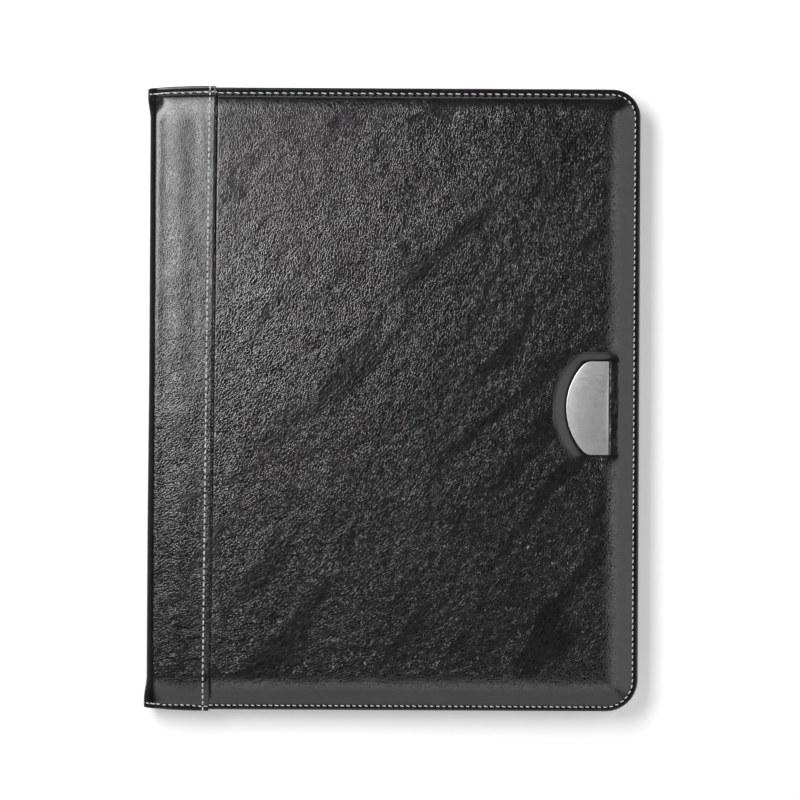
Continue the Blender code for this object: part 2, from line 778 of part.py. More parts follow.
def build():
    clear_scene()
    looks = make_looks()
    back = make_pivot("back_cover", (0, 0, 0))
    spine = make_pivot("spine", (CREASE_X, 0, LOWER_CREASE_Z), back)
    front = make_pivot("front_cover", (CREASE_X, 0, UPPER_CREASE_Z), spine)
    pad = make_pivot("writing_pad", (PAD_LEFT, PAD_FOOT, CARD_Z), back)

    make_cover("back", BACK_THICK, to_back, LOWER_CREASE_Z, looks, back)
    make_pad_holder(looks, back)
    make_spine(looks, spine)
    panel, foam = make_cover("front", FRONT_THICK, to_front, UPPER_CREASE_Z, looks, front)
    make_plate(panel, foam, looks, front)
    make_document_pocket(looks, front)
    make_card_pockets(looks, front)
    make_id_window(looks, front)
    make_pen_loop(looks, front)
    make_writing_pad(looks, pad)


build()
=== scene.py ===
"""How the closed padfolio looks: padded leather covers, a soft spine, stitching, lining and pad.

Lengths in this file are in millimetres until a mesh is made. +Z is up, the spine is at -X and
the head of the pad is at +Y. A cover's heights are measured outwards from its lining's face.
"""

import math
import random

import bpy
import numpy as np
from mathutils import Matrix, Vector, noise


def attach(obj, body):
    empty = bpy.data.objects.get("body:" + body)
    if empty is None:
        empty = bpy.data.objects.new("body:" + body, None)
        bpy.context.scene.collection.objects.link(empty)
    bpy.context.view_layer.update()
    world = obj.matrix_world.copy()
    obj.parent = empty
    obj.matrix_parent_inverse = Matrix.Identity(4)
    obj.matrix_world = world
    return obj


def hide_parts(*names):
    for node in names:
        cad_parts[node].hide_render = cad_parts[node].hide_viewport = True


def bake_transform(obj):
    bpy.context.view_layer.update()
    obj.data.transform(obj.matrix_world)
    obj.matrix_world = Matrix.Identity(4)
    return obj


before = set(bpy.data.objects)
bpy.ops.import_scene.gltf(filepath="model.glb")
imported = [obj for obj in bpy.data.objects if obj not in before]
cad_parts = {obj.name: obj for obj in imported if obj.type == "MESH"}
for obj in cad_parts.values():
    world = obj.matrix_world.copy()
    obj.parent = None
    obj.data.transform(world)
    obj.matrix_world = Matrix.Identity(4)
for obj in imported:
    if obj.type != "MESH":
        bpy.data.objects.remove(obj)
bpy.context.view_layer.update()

MM = 0.001

# The covers
RIGHT = 125.8
LEFT = -125.0
HEAD = 159.0
FOOT = -HEAD
CORNER_HEAD = 14.3
CORNER_FOOT = 16.5
FRONT_Z = 14.8
FRONT_THICK = 7.3
DOME = 1.1
BACK_THICK = 6.7
MIDDLE_Z = 11.05
BOARD_TOP = 3.2
FOAM_INSET = 8.0
LEATHER = 0.45

# The hem, and the padding's rise from it
HEM_THICK = 2.8
HEM = 3.1
STITCH_IN = 2.85
EDGE_ROLL = 1.24
EDGE_REACH = 0.8
EDGE_TILT = 0.12
TURN_IN = 5.0
SLOPE = 6.4
SLOPE_EASE = 9.4
HEAD_STEP = 0.45
HEAD_STEP_REACH = 1.8
HEAD_EASE = 12.0
STRIP_STEP = 0.25
STRIP_EASE = 15.0

# The lap seam and the spine
FOLD_X = -92.3
SEAM_X = -95.3
FLANGE_X = -98.5
UNDER_X = -112.0
UNDER_DROP = 0.6
SEAM_SLANT = 1.1
SEAM_DROP = 1.35
SEAM_SLOPE = 1.0
LAP = 1.05
LAP_REACH = 26.0
STRIP = 0.45
FOLD_RADIUS = 0.5
FOLD_TURN = np.radians(np.linspace(-90, 90, 8))[:-1]
TIGHT_RADIUS = 0.25
CREASE_X = -121.5
CREASE_RADIUS = 2.4
CREASE_HALF = 1.75
UPPER_CREASE_Z = 16.6
LOWER_CREASE_Z = 5.5
COVER_X = -117.7

# The metal plate and its recess
PLATE_X = 109.7
PLATE_Y = -3.9
PLATE_Z = 21.48
PLATE_WIDTH = 21.4
PLATE_HEIGHT = 47.6
PLATE_ARC = 33.0
PLATE_CROWN = 0.42
RECESS_FLOOR = 5.92

# Rows of stitches: pitch, length, the thread's radius and the lean in degrees
EDGE_ROW = (3.05, 2.15, 0.29, 7.0)
FRONT_INSIDE_ROW = (3.05, 2.1, 0.27, -6.0)
BACK_INSIDE_ROW = (3.05, 2.1, 0.20, -6.0)
SEAM_ROW = (3.2, 2.35, 0.33, 1.5)
SPINE_ROW = (3.1, 2.2, 0.29, 6.0)
TACK_ROW = (1.8, 1.7, 0.12, -42.0)
POCKET_ROW = (3.0, 2.2, 0.26, 4.0)
RINGS = 9
SIDES = 8

# Lining, pockets and window
LINING = 0.6
LINING_INSET = 1.2
LINING_SHEET = 0.42
GUTTER_SHEET = 0.4
GUTTER_LEVEL = LINING + 0.45
GUTTER_X = -121.8
POCKET_INSET = 8.0
POCKET_HEIGHT = 205.0
POCKET_FALL = 30.0
POCKET_CORNER = 10.0
POCKET_Z = 14.42
POCKET_SEAM_Z = 13.96
CARD_WIDTH = 96.0
CARD_HEIGHT = 56.0
CARD_CORNER = 4.0
CARD_SHEET = 0.32
CARD_Z = 13.58
CARD_SEAM_Z = 13.14
CARD_COLUMN = 102.0
CARD_ROW = 68.0
NOTCH = 9.0
FRAME = 8.0
FRAME_SHEET = 0.34
FRAME_Z = 13.60
FILM_SHEET = 0.2
FILM_Z = 13.48
CORNER_LOSS = 0.2146

# The pad, its holder and the pen loop
PAD_LEFT = -99.1
PAD_RIGHT = 116.8
PAD_HEAD = 139.7
PAD_FOOT = -PAD_HEAD
PAD_Z = 9.1
PAD_THICK = 3.0
LEAVES = 20
RULE_GAP = 7.1
HOLDER_HEIGHT = 120.0
HOLDER_MARGIN = 3.3
HOLDER_CORNER = 6.0
HOLDER_SHEET = 0.55
HOLDER_Z = 7.75
HOLDER_RISE = 0.93
HOLDER_SEAM_Z = 7.72
LOOP_FOOT = 27.5
LOOP_HEIGHT = 25.0
LOOP_WIDTH = 16.0
LOOP_RIBS = 10

# The studio
DARK = 0.045
HORIZON = (0.16, 0.36)
FLOOR = 3.0
FLOOR_Z = -0.0002
FLOOR_SHADE = 0.24
FLOOR_GLOW = (380.0, 1100.0, 0.29, 1.0)
MIRRORED_GLOW = (600.0, 1600.0, 0.0, 0.7)
CAMERA = (0.0035, -0.0003, 1.3797)
CAMERA_TURN = 0.3
LENS = 120.0
LIGHTS = {
    "key": ((-0.44, 0.36, 0.85), 0.42, 0.70, 8.7),
    "fill_right": ((0.86, 0.0, 0.77), 0.55, 1.5, 3.3),
    "fill_foot": ((0.0, -0.86, 0.77), 1.5, 0.55, 2.7),
}


# Curves and noise


def smooth(value):
    value = np.clip(value, 0.0, 1.0)
    return value * value * (3.0 - 2.0 * value)


def bell(value):
    return np.exp(-value * value)


def smooth_min(a, b, reach):
    share = np.clip(0.5 + 0.5 * (b - a) / reach, 0.0, 1.0)
    return b * (1 - share) + a * share - reach * share * (1 - share)


def gently(value, soft=0.08):
    """From zero to one, leaving zero softly."""
    return value * value / (value + soft) * (1 + soft)


def lines(*spans):
    """Grid lines through spans of (start, end, step)."""
    parts = []
    for start, end, step in spans:
        count = max(1, round((end - start) / step))
        parts.append(np.linspace(start, end, count + 1)[:-1])
    parts.append(np.array([spans[-1][1]]))
    return np.concatenate(parts)


def edged_lines(low, high, edge, fine, coarse):
    """Grid lines that are closer near both ends."""
    return lines((low, low + edge, fine), (low + edge, high - edge, coarse), (high - edge, high, fine))


def waves(x, y, size, seed, octaves=2):
    """Smooth noise from about -1 to 1 whose waves are size across."""
    flat = zip(np.ravel(x), np.ravel(y))
    values = [noise.fractal(Vector((a / size, b / size, seed)), 1.0, 2.0, octaves) for a, b in flat]
    return np.array(values).reshape(np.shape(x))


# Meshes


def surface(x, y, z):
    return np.stack([x, y, z], axis=-1).reshape(-1, 3)


def grid_faces(count_u, count_v, keep=None):
    """Quads of a grid whose points are numbered u by u."""
    u, v = np.meshgrid(np.arange(count_u - 1), np.arange(count_v - 1), indexing="ij")
    first = u * count_v + v
    faces = np.stack([first, first + count_v, first + count_v + 1, first + 1], axis=-1)
    return faces.reshape(-1, 4) if keep is None else faces[keep]


def grid_border(count_u, count_v):
    """The points round a grid on its three sides other than u = 0, from v's end to v's start."""
    number = np.arange(count_u * count_v).reshape(count_u, count_v)
    return np.concatenate([number[:-1, -1], number[-1, ::-1], number[-2::-1, 0]])


def band_faces(rings, sides, closed=False):
    """Quads between closed rings of points, and from the last ring to the first if closed."""
    i = np.arange(rings if closed else rings - 1)[:, None]
    j = np.arange(sides)
    ahead, beside = (i + 1) % rings * sides, (j + 1) % sides
    quads = [i * sides + j, i * sides + beside, ahead + beside, ahead + j]
    return np.stack(quads, axis=-1).reshape(-1, 4)


def tube_faces(rings, sides):
    """The faces round a tube of rings of points and over its two ends."""
    last = (rings - 1) * sides
    ends = [list(range(sides - 1, -1, -1)), list(range(last, last + sides))]
    return band_faces(rings, sides).tolist() + ends


def round_grid(xs, ys, radii):
    """Grid points in a rectangle whose corners are drawn in to arcs.

    The radii are those of the corners at (-X, -Y), (+X, -Y), (+X, +Y) and (-X, +Y).
    """
    x, y = np.meshgrid(xs, ys, indexing="ij")
    x_new, y_new = x.copy(), y.copy()
    for (sign_x, sign_y), radius in zip(((-1, -1), (1, -1), (1, 1), (-1, 1)), radii):
        if radius <= 0:
            continue
        corner_x = xs[-1] if sign_x > 0 else xs[0]
        corner_y = ys[-1] if sign_y > 0 else ys[0]
        a = 1 - sign_x * (corner_x - x) / radius
        b = 1 - sign_y * (corner_y - y) / radius
        inside = (a > 0) & (b > 0)
        a, b = np.clip(a, 0, 1), np.clip(b, 0, 1)
        arc_x = corner_x - sign_x * radius * (1 - a * np.sqrt(1 - b * b / 2))
        arc_y = corner_y - sign_y * radius * (1 - b * np.sqrt(1 - a * a / 2))
        x_new = np.where(inside, arc_x, x_new)
        y_new = np.where(inside, arc_y, y_new)
    return x_new, y_new


def raw_mesh(name, verts, faces):
    mesh = bpy.data.meshes.new(name)
    mesh.from_pydata(verts.tolist(), [], faces.tolist() if hasattr(faces, "tolist") else faces)
    return mesh


def vertex_normals(verts, faces):
    mesh = raw_mesh("normals", verts, faces)
    normals = np.empty(len(verts) * 3)
    mesh.vertex_normals.foreach_get("vector", normals)
    bpy.data.meshes.remove(mesh)
    return normals.reshape(-1, 3)


def close(top, bottom, faces):
    """One closed mesh from a surface, its like below it, and the rim between them."""
    count = len(top)
    starts = faces.ravel()
    ends = np.roll(faces, -1, axis=1).ravel()
    size = int(faces.max()) + 1
    alone = ~np.isin(starts * size + ends, ends * size + starts)
    starts, ends = starts[alone], ends[alone]
    rim = np.stack([ends, starts, starts + count, ends + count], axis=1)
    return np.concatenate([top, bottom]), np.concatenate([faces, faces[:, ::-1] + count, rim])


def facing_out(verts, faces):
    """The faces of a closed mesh, turned over if its volume comes out negative."""
    a, b, c, d = (verts[faces[:, i]] for i in range(4))
    volume = np.einsum("ij,ij->i", a, np.cross(b, c)).sum()
    volume += np.einsum("ij,ij->i", a, np.cross(c, d)).sum()
    return faces[:, ::-1] if volume < 0 else faces


def make_piece(name, verts, faces, look, facts=None, sharp=50):
    """An object in the CAD's frame, with where each point rests kept for its material."""
    mesh = raw_mesh(name, verts * MM, faces)
    rest = mesh.attributes.new("rest", "FLOAT_VECTOR", "POINT")
    rest.data.foreach_set("vector", verts.astype(np.float32).ravel())
    for fact, values in (facts or {}).items():
        attribute = mesh.attributes.new(fact, "FLOAT", "POINT")
        attribute.data.foreach_set("value", np.asarray(values, np.float32).ravel())
    mesh.shade_smooth()
    mesh.set_sharp_from_angle(angle=math.radians(sharp))
    mesh.materials.append(look)
    obj = bpy.data.objects.new(name, mesh)
    bpy.context.scene.collection.objects.link(obj)
    return obj


def sheet_piece(name, verts, faces, thick, look, slot, facts=None):
    """A closed piece of even thickness whose outer side is the surface given."""
    below = verts - vertex_normals(verts, faces) * thick
    verts, faces = close(verts, below, faces)
    doubled = {key: np.concatenate([value, value]) for key, value in (facts or {}).items()}
    return make_piece(name, verts, facing_out(verts, faces), look, doubled)


def settle(piece, body, *nodes):
    """The piece rides a body, and stands for the CAD nodes named."""
    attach(piece, body)
    if nodes:
        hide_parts(*nodes)


def sew(name, x, y, z, thick, size, area, body, node, faces=None):
    """A laid sheet of lining cloth: the surface given, and its thickness downwards from there.

    A negative thickness goes upwards.
    """
    faces = grid_faces(*x.shape) if faces is None else faces
    piece = sheet_piece(name, *faces_in_use(surface(x, y, z), faces), thick, LINING_LOOK, "lining")
    size[0] * MM
    size[1] * MM
    area * MM * MM
    settle(piece, body, node)


def faces_in_use(verts, faces):
    """The points that faces use, and the faces on their new numbers."""
    used, numbers = np.unique(faces, return_inverse=True)
    return verts[used], numbers.reshape(faces.shape)


# Materials


class Value:
    """A node's output: arithmetic on it adds Math nodes."""

    def __init__(self, graph, socket):
        self.graph = graph
        self.socket = socket

    def at(self, key):
        """Another output of the same node."""
        return Value(self.graph, self.socket.node.outputs[key])

    def __add__(self, other):
        return self.graph.math("ADD", self, other)

    def __sub__(self, other):
        return self.graph.math("SUBTRACT", self, other)

    def __mul__(self, other):
        return self.graph.math("MULTIPLY", self, other)


class Graph:
    """A node tree with short calls for adding nodes."""

    def __init__(self, tree):
        self.tree = tree

    def put(self, socket, value):
        """Links a value to a socket or sets it there, where one number is a grey."""
        if isinstance(value, Value):
            self.tree.links.new(value.socket, socket)
        elif socket.type == "RGBA":
            socket.default_value = [*np.broadcast_to(value, 3), 1.0]
        else:
            socket.default_value = value

    def node(self, kind, inputs, out=0, **settings):
        made = self.tree.nodes.new("ShaderNode" + kind)
        for key, value in settings.items():
            setattr(made, key, value)
        for key, value in inputs.items():
            self.put(made.inputs[key], value)
        return Value(self, made.outputs[out])

    def math(self, operation, a, b=0.0, clamp=False):
        return self.node("Math", {0: a, 1: b}, operation=operation, use_clamp=clamp)

    def vector(self, operation, a, b=(0, 0, 0), out=0):
        return self.node("VectorMath", {0: a, 1: b}, out, operation=operation)

    def blend(self, share, a, b):
        return self.node("Mix", {0: share, 2: a, 3: b})

    def mix(self, share, a, b):
        return self.node("Mix", {0: share, 6: a, 7: b}, 2, data_type="RGBA")

    def seen(self):
        """One for the camera's rays, and one for those and the rays of mirrors and clear things."""
        camera = self.node("LightPath", {}, "Is Camera Ray")
        either = self.math("MAXIMUM", camera, camera.at("Is Glossy Ray"))
        return camera, self.math("MAXIMUM", either, camera.at("Is Transmission Ray"))


class Look(Graph):
    """A material with nodes for grain, cloth and metal."""

    NAMES = {
        "color": "Base Color",
        "rough": "Roughness",
        "metal": "Metallic",
        "normal": "Normal",
        "sheen": "Sheen Weight",
        "sheen_rough": "Sheen Roughness",
        "specular": "Specular IOR Level",
        "ior": "IOR",
        "alpha": "Alpha",
    }

    def __init__(self, name):
        self.material = bpy.data.materials.new(name)
        self.material.use_nodes = True
        super().__init__(self.material.node_tree)
        self.shader = self.tree.nodes["Principled BSDF"]

    def place(self, kept=True, stretch=(1, 1, 1), turn=0.0):
        """Where a point rests, in millimetres, turned about Z and scaled."""
        if kept:
            source = self.node("Attribute", {}, "Vector", attribute_name="rest")
        else:
            source = self.node("TexCoord", {}, "Object")
            stretch = tuple(share / MM for share in stretch)
        inputs = {"Vector": source, "Rotation": (0, 0, math.radians(turn)), "Scale": stretch}
        return self.node("Mapping", inputs)

    def turned(self, place, along, across, turn):
        """A place measured along and across a direction, in units of those two lengths."""
        scale = (along, across, across)
        inputs = {"Vector": place, "Rotation": (0, 0, math.radians(turn)), "Scale": scale}
        return self.node("Mapping", inputs, vector_type="TEXTURE")

    def moved(self, place, source, scale, reach):
        """A place moved by a smoothly changing offset of up to about half the reach."""
        warp = self.noise(source, scale, out="Color")
        centered = self.vector("SUBTRACT", warp, (0.5, 0.5, 0.5))
        return self.vector("ADD", place, self.vector("MULTIPLY", centered, (reach, reach, reach)))

    def noise(self, place, scale, detail=2.0, rough=0.5, kind="FBM", out=0):
        inputs = {"Vector": place, "Scale": scale, "Detail": detail, "Roughness": rough}
        return self.node("TexNoise", inputs, out, noise_type=kind)

    def net(self, place, scale, width):
        """Thin raised lines round small pits."""
        inputs = {"Vector": place, "Scale": scale}
        pits = self.node("TexVoronoi", inputs, "Distance", feature="DISTANCE_TO_EDGE")
        return self.ramp(pits, 0.0, width, 1.0, 0.0)

    def threads(self, place, scale, distortion, direction):
        inputs = {"Vector": place, "Scale": scale, "Distortion": distortion}
        return self.node("TexWave", inputs, "Fac", bands_direction=direction)

    def fact(self, name):
        return self.node("Attribute", {}, "Fac", attribute_name=name)

    def ramp(self, value, low, high, low_out=0.0, high_out=1.0):
        inputs = {0: value, 1: low, 2: high, 3: low_out, 4: high_out}
        return self.node("MapRange", inputs, interpolation_type="SMOOTHSTEP")

    def spread(self, value, low_out=0.0, high_out=1.0):
        """A noise's usual values, spread from one number to another."""
        return self.ramp(value, 0.3, 0.7, low_out, high_out)

    def tones(self, value, low, high):
        return self.mix(self.spread(value), low, high)

    def bump(self, height, distance, strength=1.0, under=None):
        inputs = {"Height": height, "Distance": distance * MM, "Strength": strength}
        if under is not None:
            inputs["Normal"] = under
        return self.node("Bump", inputs)

    def finish(self, **values):
        for key, value in values.items():
            self.put(self.shader.inputs[self.NAMES[key]], value)
        return self.material


def leather_look():
    """Black leather: a fine net of pits, creases in slanting bands, and worn edges."""
    look = Look("black_leather")
    place = look.place()
    moved = look.moved(place, place, 0.25, 2.6)
    crinkle = look.noise(moved, 0.70, 3.0, 0.60, "RIDGED_MULTIFRACTAL")
    fine = look.net(moved, 0.80, 0.28)
    folds = look.moved(moved, place, 0.012, 34.0)
    long_lines = look.net(look.turned(folds, 6.5, 1.6, 50), 1.0, 0.34)
    bands = look.noise(look.turned(folds, 110.0, 20.0, 50), 1.0, 3.0, 0.6)
    folded = look.ramp(bands, 0.52, 0.63, 0.0, 0.62)
    pits = look.blend(folded, fine, long_lines * 0.8)
    pores = look.noise(place, 2.2, 2.0, 0.6)
    height = crinkle * 0.16 + pits * 0.80 + pores * 0.12
    grain = look.fact("grain")
    grain = grain + (bands - 0.5) * 0.9 * grain
    amount = look.math("MULTIPLY", grain, 0.96, clamp=True) + 0.04
    normal = look.bump(look.noise(place, 0.10) * amount, 0.40)
    normal = look.bump(height * amount, 0.082, 1.0, normal)
    dark, light, worn = (0.0050, 0.0050, 0.0052), (0.0085, 0.0085, 0.0088), (0.032, 0.031, 0.030)
    wear = look.fact("wear")
    color = look.mix(wear * 0.5, look.tones(look.noise(place, 0.05, 3.0), dark, light), worn)
    rough = look.spread(look.noise(place, 0.35, 3.0), 0.20, 0.25) - wear * 0.03
    ridge = look.ramp(pits + pores * 0.4, 0.1, 1.1, 0.10, 1.0)
    shine = look.blend(grain, 0.5, ridge) * (look.fact("dull") * -0.9 + 1.0)
    return look.finish(color=color, rough=rough, normal=normal, specular=shine, ior=1.65)


def thread_look():
    look = Look("grey_thread")
    place = look.place()
    fibre = look.noise(place, 9.0, 3.0, 0.6)
    color = look.tones(look.noise(place, 0.8), (0.72, 0.72, 0.71), (0.86, 0.86, 0.85))
    color = look.mix(look.ramp(fibre, 0.25, 0.5), (0.48, 0.48, 0.475), color)
    rough = look.spread(fibre, 0.62, 0.78)
    normal = look.bump(fibre, 0.06)
    return look.finish(color=color, rough=rough, normal=normal, sheen=0.2, sheen_rough=0.5)


def lining_look():
    look = Look("black_lining")
    place = look.place()
    warp = look.threads(place, 0.62, 0.35, "X")
    weave = look.math("MAXIMUM", warp, look.threads(place, 0.62, 0.35, "Y"))
    soft = look.noise(place, 0.06, 3.0)
    color = look.tones(soft, (0.014, 0.014, 0.016), (0.024, 0.024, 0.027))
    color = look.mix(weave * 0.4, color, (0.034, 0.034, 0.038))
    rough = look.spread(soft, 0.62, 0.74)
    normal = look.bump(soft, 0.5, 0.6, look.bump(weave, 0.06))
    return look.finish(color=color, rough=rough, normal=normal, sheen=0.25, sheen_rough=0.4)


def elastic_look():
    look = Look("black_elastic")
    place = look.place()
    ribs = look.threads(place, 0.30, 0.1, "Y")
    knit = look.noise(place, 2.2)
    color = look.mix(ribs, (0.010, 0.010, 0.011), (0.028, 0.028, 0.030))
    rough = look.spread(knit, 0.72, 0.88)
    normal = look.bump(ribs + knit * 0.6, 0.15)
    return look.finish(color=color, rough=rough, normal=normal, sheen=0.3, sheen_rough=0.5)


def steel_look():
    look = Look("satin_steel")
    place = look.place()
    drawn = look.noise(look.place(stretch=(0.25, 8.0, 1.0)), 1.0)
    color = look.tones(look.noise(place, 0.07), (0.86, 0.86, 0.865), (0.93, 0.93, 0.935))
    normal = look.bump(look.noise(place, 5.0, 4.0, 0.7) + drawn * 0.3, 0.008)
    return look.finish(color=color, metal=1.0, rough=look.spread(drawn, 0.34, 0.42), normal=normal)


def paper_look():
    """White paper with blue rules and a red margin on its upper side."""
    look = Look("ruled_paper")
    place = look.place()
    across = look.node("SeparateXYZ", {"Vector": place})
    along, up = across.at(1), across.at(2)
    rule = look.math("PINGPONG", along + (PAD_HEAD - 12.0), RULE_GAP / 2)
    rule = look.ramp(rule, 0.10, 0.24, 1.0, 0.0) * look.ramp(along, 100.0, 100.2, 1.0, 0.0)
    margin = look.math("ABSOLUTE", across - (PAD_LEFT + 32.0))
    margin = look.ramp(margin, 0.12, 0.28, 1.0, 0.0)
    top = look.ramp(up, 11.85, 11.95)
    fibre = look.noise(place, 0.9, 4.0, 0.6)
    color = look.tones(fibre, (0.80, 0.795, 0.775), (0.86, 0.855, 0.84))
    color = look.mix(rule * (top * 0.55), color, (0.32, 0.46, 0.68))
    color = look.mix(margin * (top * 0.5), color, (0.72, 0.30, 0.30))
    rough = look.spread(fibre, 0.82, 0.92)
    return look.finish(color=color, rough=rough, normal=look.bump(fibre, 0.02))


def fibre_look(name, low, high, scale, rough, kept=False, depth=0.05):
    """Board, card, foam and tape: two tones of a fibrous or porous stuff."""
    look = Look(name)
    place = look.place(kept)
    fine = look.noise(place, scale * 6, 2.0, 0.6)
    blend = look.noise(place, scale, 4.0, 0.65) * 0.6 + fine * 0.4
    color = look.mix(look.ramp(blend, 0.35, 0.65), low, high)
    rough = look.spread(fine, rough - 0.06, rough + 0.04)
    return look.finish(color=color, rough=rough, normal=look.bump(blend, depth))


def film_look():
    look = Look("clear_film")
    scuff = look.noise(look.place(stretch=(0.2, 3.0, 1.0), turn=25), 1.2)
    rough = look.ramp(scuff, 0.45, 0.7, 0.08, 0.22)
    color = look.mix(look.ramp(scuff, 0.4, 0.7), (0.10, 0.105, 0.11), (0.15, 0.155, 0.16))
    normal = look.bump(look.noise(look.place(), 0.06), 0.4)
    return look.finish(color=color, rough=rough, normal=normal, alpha=0.32, specular=0.9)


LEATHER_LOOK = leather_look()
THREAD_LOOK = thread_look()
LINING_LOOK = lining_look()
ELASTIC_LOOK = elastic_look()
STEEL_LOOK = steel_look()
PAPER_LOOK = paper_look()
FILM_LOOK = film_look()
FOAM_LOOK = fibre_look("grey_foam", (0.13, 0.13, 0.135), (0.24, 0.24, 0.25), 1.6, 0.92, True, 0.25)
TAPE_LOOK = fibre_look("black_tape", (0.020, 0.020, 0.023), (0.040, 0.040, 0.044), 1.4, 0.66, True)
BOARD_LOOK = fibre_look("grey_board", (0.22, 0.20, 0.17), (0.34, 0.31, 0.26), 0.5, 0.90)
CARD_LOOK = fibre_look("brown_card", (0.33, 0.27, 0.19), (0.46, 0.38, 0.28), 0.6, 0.90)
GLUE_LOOK = fibre_look("clear_adhesive", (0.68, 0.66, 0.58), (0.78, 0.76, 0.69), 0.4, 0.60)


# The shape of the covers


class Cover:
    """One cover: up is 1 where its outside faces up and -1 where it faces down."""

    def __init__(self, side, thick, up, level, crease_z):
        self.side = side
        self.thick = thick
        self.up = up
        self.level = level
        self.front = up > 0
        self.seed = 0 if self.front else 1
        self.body = f"{side}_cover"
        on_cover = (CREASE_X + CREASE_HALF, 0, crease_z + CREASE_HALF * up)
        on_spine = (CREASE_X - CREASE_HALF, 0, crease_z - CREASE_HALF * up)
        self.crease = metres(on_cover), metres(on_spine)

    def to_z(self, height):
        return self.level + self.up * height


def metres(place):
    return tuple(value * MM for value in place)


def slant(y):
    """The lap seam leans: it is further from the spine at the head than at the foot."""
    return SEAM_SLANT * np.asarray(y) / HEAD


def fold_at(y):
    return FOLD_X + slant(y)


def left_at(y):
    """The spine's outer wall, which spreads at both ends and a little below the middle."""
    low_half = 0.5 * smooth((30.0 - y) / 110.0)
    head_end = 1.4 * smooth((y - 142.0) / 13.0)
    foot_end = 1.5 * smooth((-142.0 - y) / 13.0)
    return LEFT + 0.25 - low_half - head_end - foot_end


def inset_of(x, y):
    """The distance in from a cover's free edge."""
    result = np.minimum(RIGHT - x, end_inset(y))
    for radius, sign in ((CORNER_HEAD, 1), (CORNER_FOOT, -1)):
        center_x = RIGHT - radius
        center_y = sign * (HEAD - radius)
        inside = (x > center_x) & (sign * (y - center_y) > 0)
        result = np.where(inside, radius - np.hypot(x - center_x, y - center_y), result)
    return result


def end_inset(y):
    """The distance in from the head or the foot."""
    return np.minimum(HEAD - y, y - FOOT)


def near_end(y):
    """The way out to the head or the foot, from nothing to one by the ends."""
    return np.sign(y) * smooth((np.abs(y) - 138) / 20)


def head_share(x, y):
    """Where the padding rises at once from the hem: the head, short of its outer corner."""
    return smooth((y - HEAD + 34.0) / 20.0) * smooth((RIGHT - 9.0 - x) / 14.0)


def edge_height(inset, thick, at_head=0.0, step=HEAD_STEP, ease=HEAD_EASE):
    """The leather's height over the lining, from the hem up the padding's slope."""
    groove = 0.22 * bell((inset - STITCH_IN) / 0.55)
    lip = EDGE_TILT * (1 - 2.7 * at_head) * np.maximum(STITCH_IN - inset, 0)
    rise = np.maximum(inset - HEM, 0)
    rise = rise * rise / (rise + 0.35)
    past = np.clip(rise - SLOPE, 0, SLOPE_EASE)
    gentle = np.minimum(rise, SLOPE) + past - past * past / (2 * SLOPE_EASE)
    gentle = gentle / (SLOPE + SLOPE_EASE / 2)
    left = 1 - np.clip(rise / ease, 0, 1)
    sudden = step * smooth(rise / HEAD_STEP_REACH) + (1 - step) * (1 - left * left)
    share = gentle + (sudden - gentle) * at_head
    return HEM_THICK + (thick - HEM_THICK) * share - groove - lip


def plate_distance(x, y):
    """How far left of, above or below the plate a point is, and the recess's width there."""
    center_x = PLATE_X - PLATE_WIDTH + PLATE_ARC
    curved = np.hypot(np.minimum(x - center_x, 0), y - PLATE_Y) - PLATE_ARC
    ends = np.abs(y - PLATE_Y) - PLATE_HEIGHT / 2
    left, beyond = (np.maximum(part, 0) ** 2 for part in (curved, ends))
    within = np.minimum(np.maximum(curved, ends), 0)
    end_width = np.where(y > PLATE_Y, 4.4, 5.4)
    width = (left * 6.4 + beyond * end_width) / (left + beyond + 1e-6)
    return np.sqrt(left + beyond) + within, np.maximum(width, 3.0)


def seam_level(x, y, inset, thick):
    """The padding's height under the spine leather, a little below the panel's."""
    return edge_height(inset, thick - SEAM_DROP, head_share(x, y), STRIP_STEP, STRIP_EASE)


def panel_height(x, y, cover):
    """The height of a cover's leather, with the front's dome and the plate's recess."""
    inset = inset_of(x, y)
    low = seam_level(x, y, inset, cover.thick)
    past_fold = smooth((x - fold_at(y) - 0.4) / SEAM_SLOPE)
    height = low + (edge_height(inset, cover.thick, head_share(x, y)) - low) * past_fold
    if not cover.front:
        return height
    middle_x = (RIGHT + FOLD_X) / 2
    bow = 1 - ((x - middle_x) / (RIGHT - middle_x)) ** 2
    height = height + DOME * np.maximum(bow, 0) * (1 - (y / HEAD) ** 2)
    distance, width = plate_distance(x, y)
    out = np.maximum(distance - 0.3, 0) / (width - 0.3)
    wall = smooth_min(gently(out), 1.0, 0.16)
    floor = smooth_min(height, RECESS_FLOOR, 0.3)
    return floor + (height - floor) * np.clip(wall, 0, 1)


def droop(x):
    """How far the spine leather falls away towards the spine's wall."""
    return 2.2 * np.clip((-121.1 - x) / 4.4, 0, 1) ** 1.25


def strip_height(x, y, thick):
    """The spine leather's height, lifted where it laps over the cover's panel."""
    inset = end_inset(y)
    level = seam_level(x, y, inset, thick)
    lap = gently(np.clip((x - fold_at(y)) / LAP_REACH + 1, 0, 1))
    puff = 0.14 * bell((x + 109.5) / 6.5) * smooth((inset - 4) / 14)
    return level + LAP * lap + puff - droop(x)


def worn_smooth(x, y):
    """The grain's depth, which is least in the upper left corner."""
    away = (HEAD - y) + 1.1 * (x - LEFT) - 8.0
    lower_right = smooth((x - 20.0) / 100.0) * smooth((20.0 - y) / 120.0)
    return 0.33 + 0.66 * smooth(away / 200.0) + 0.10 * lower_right


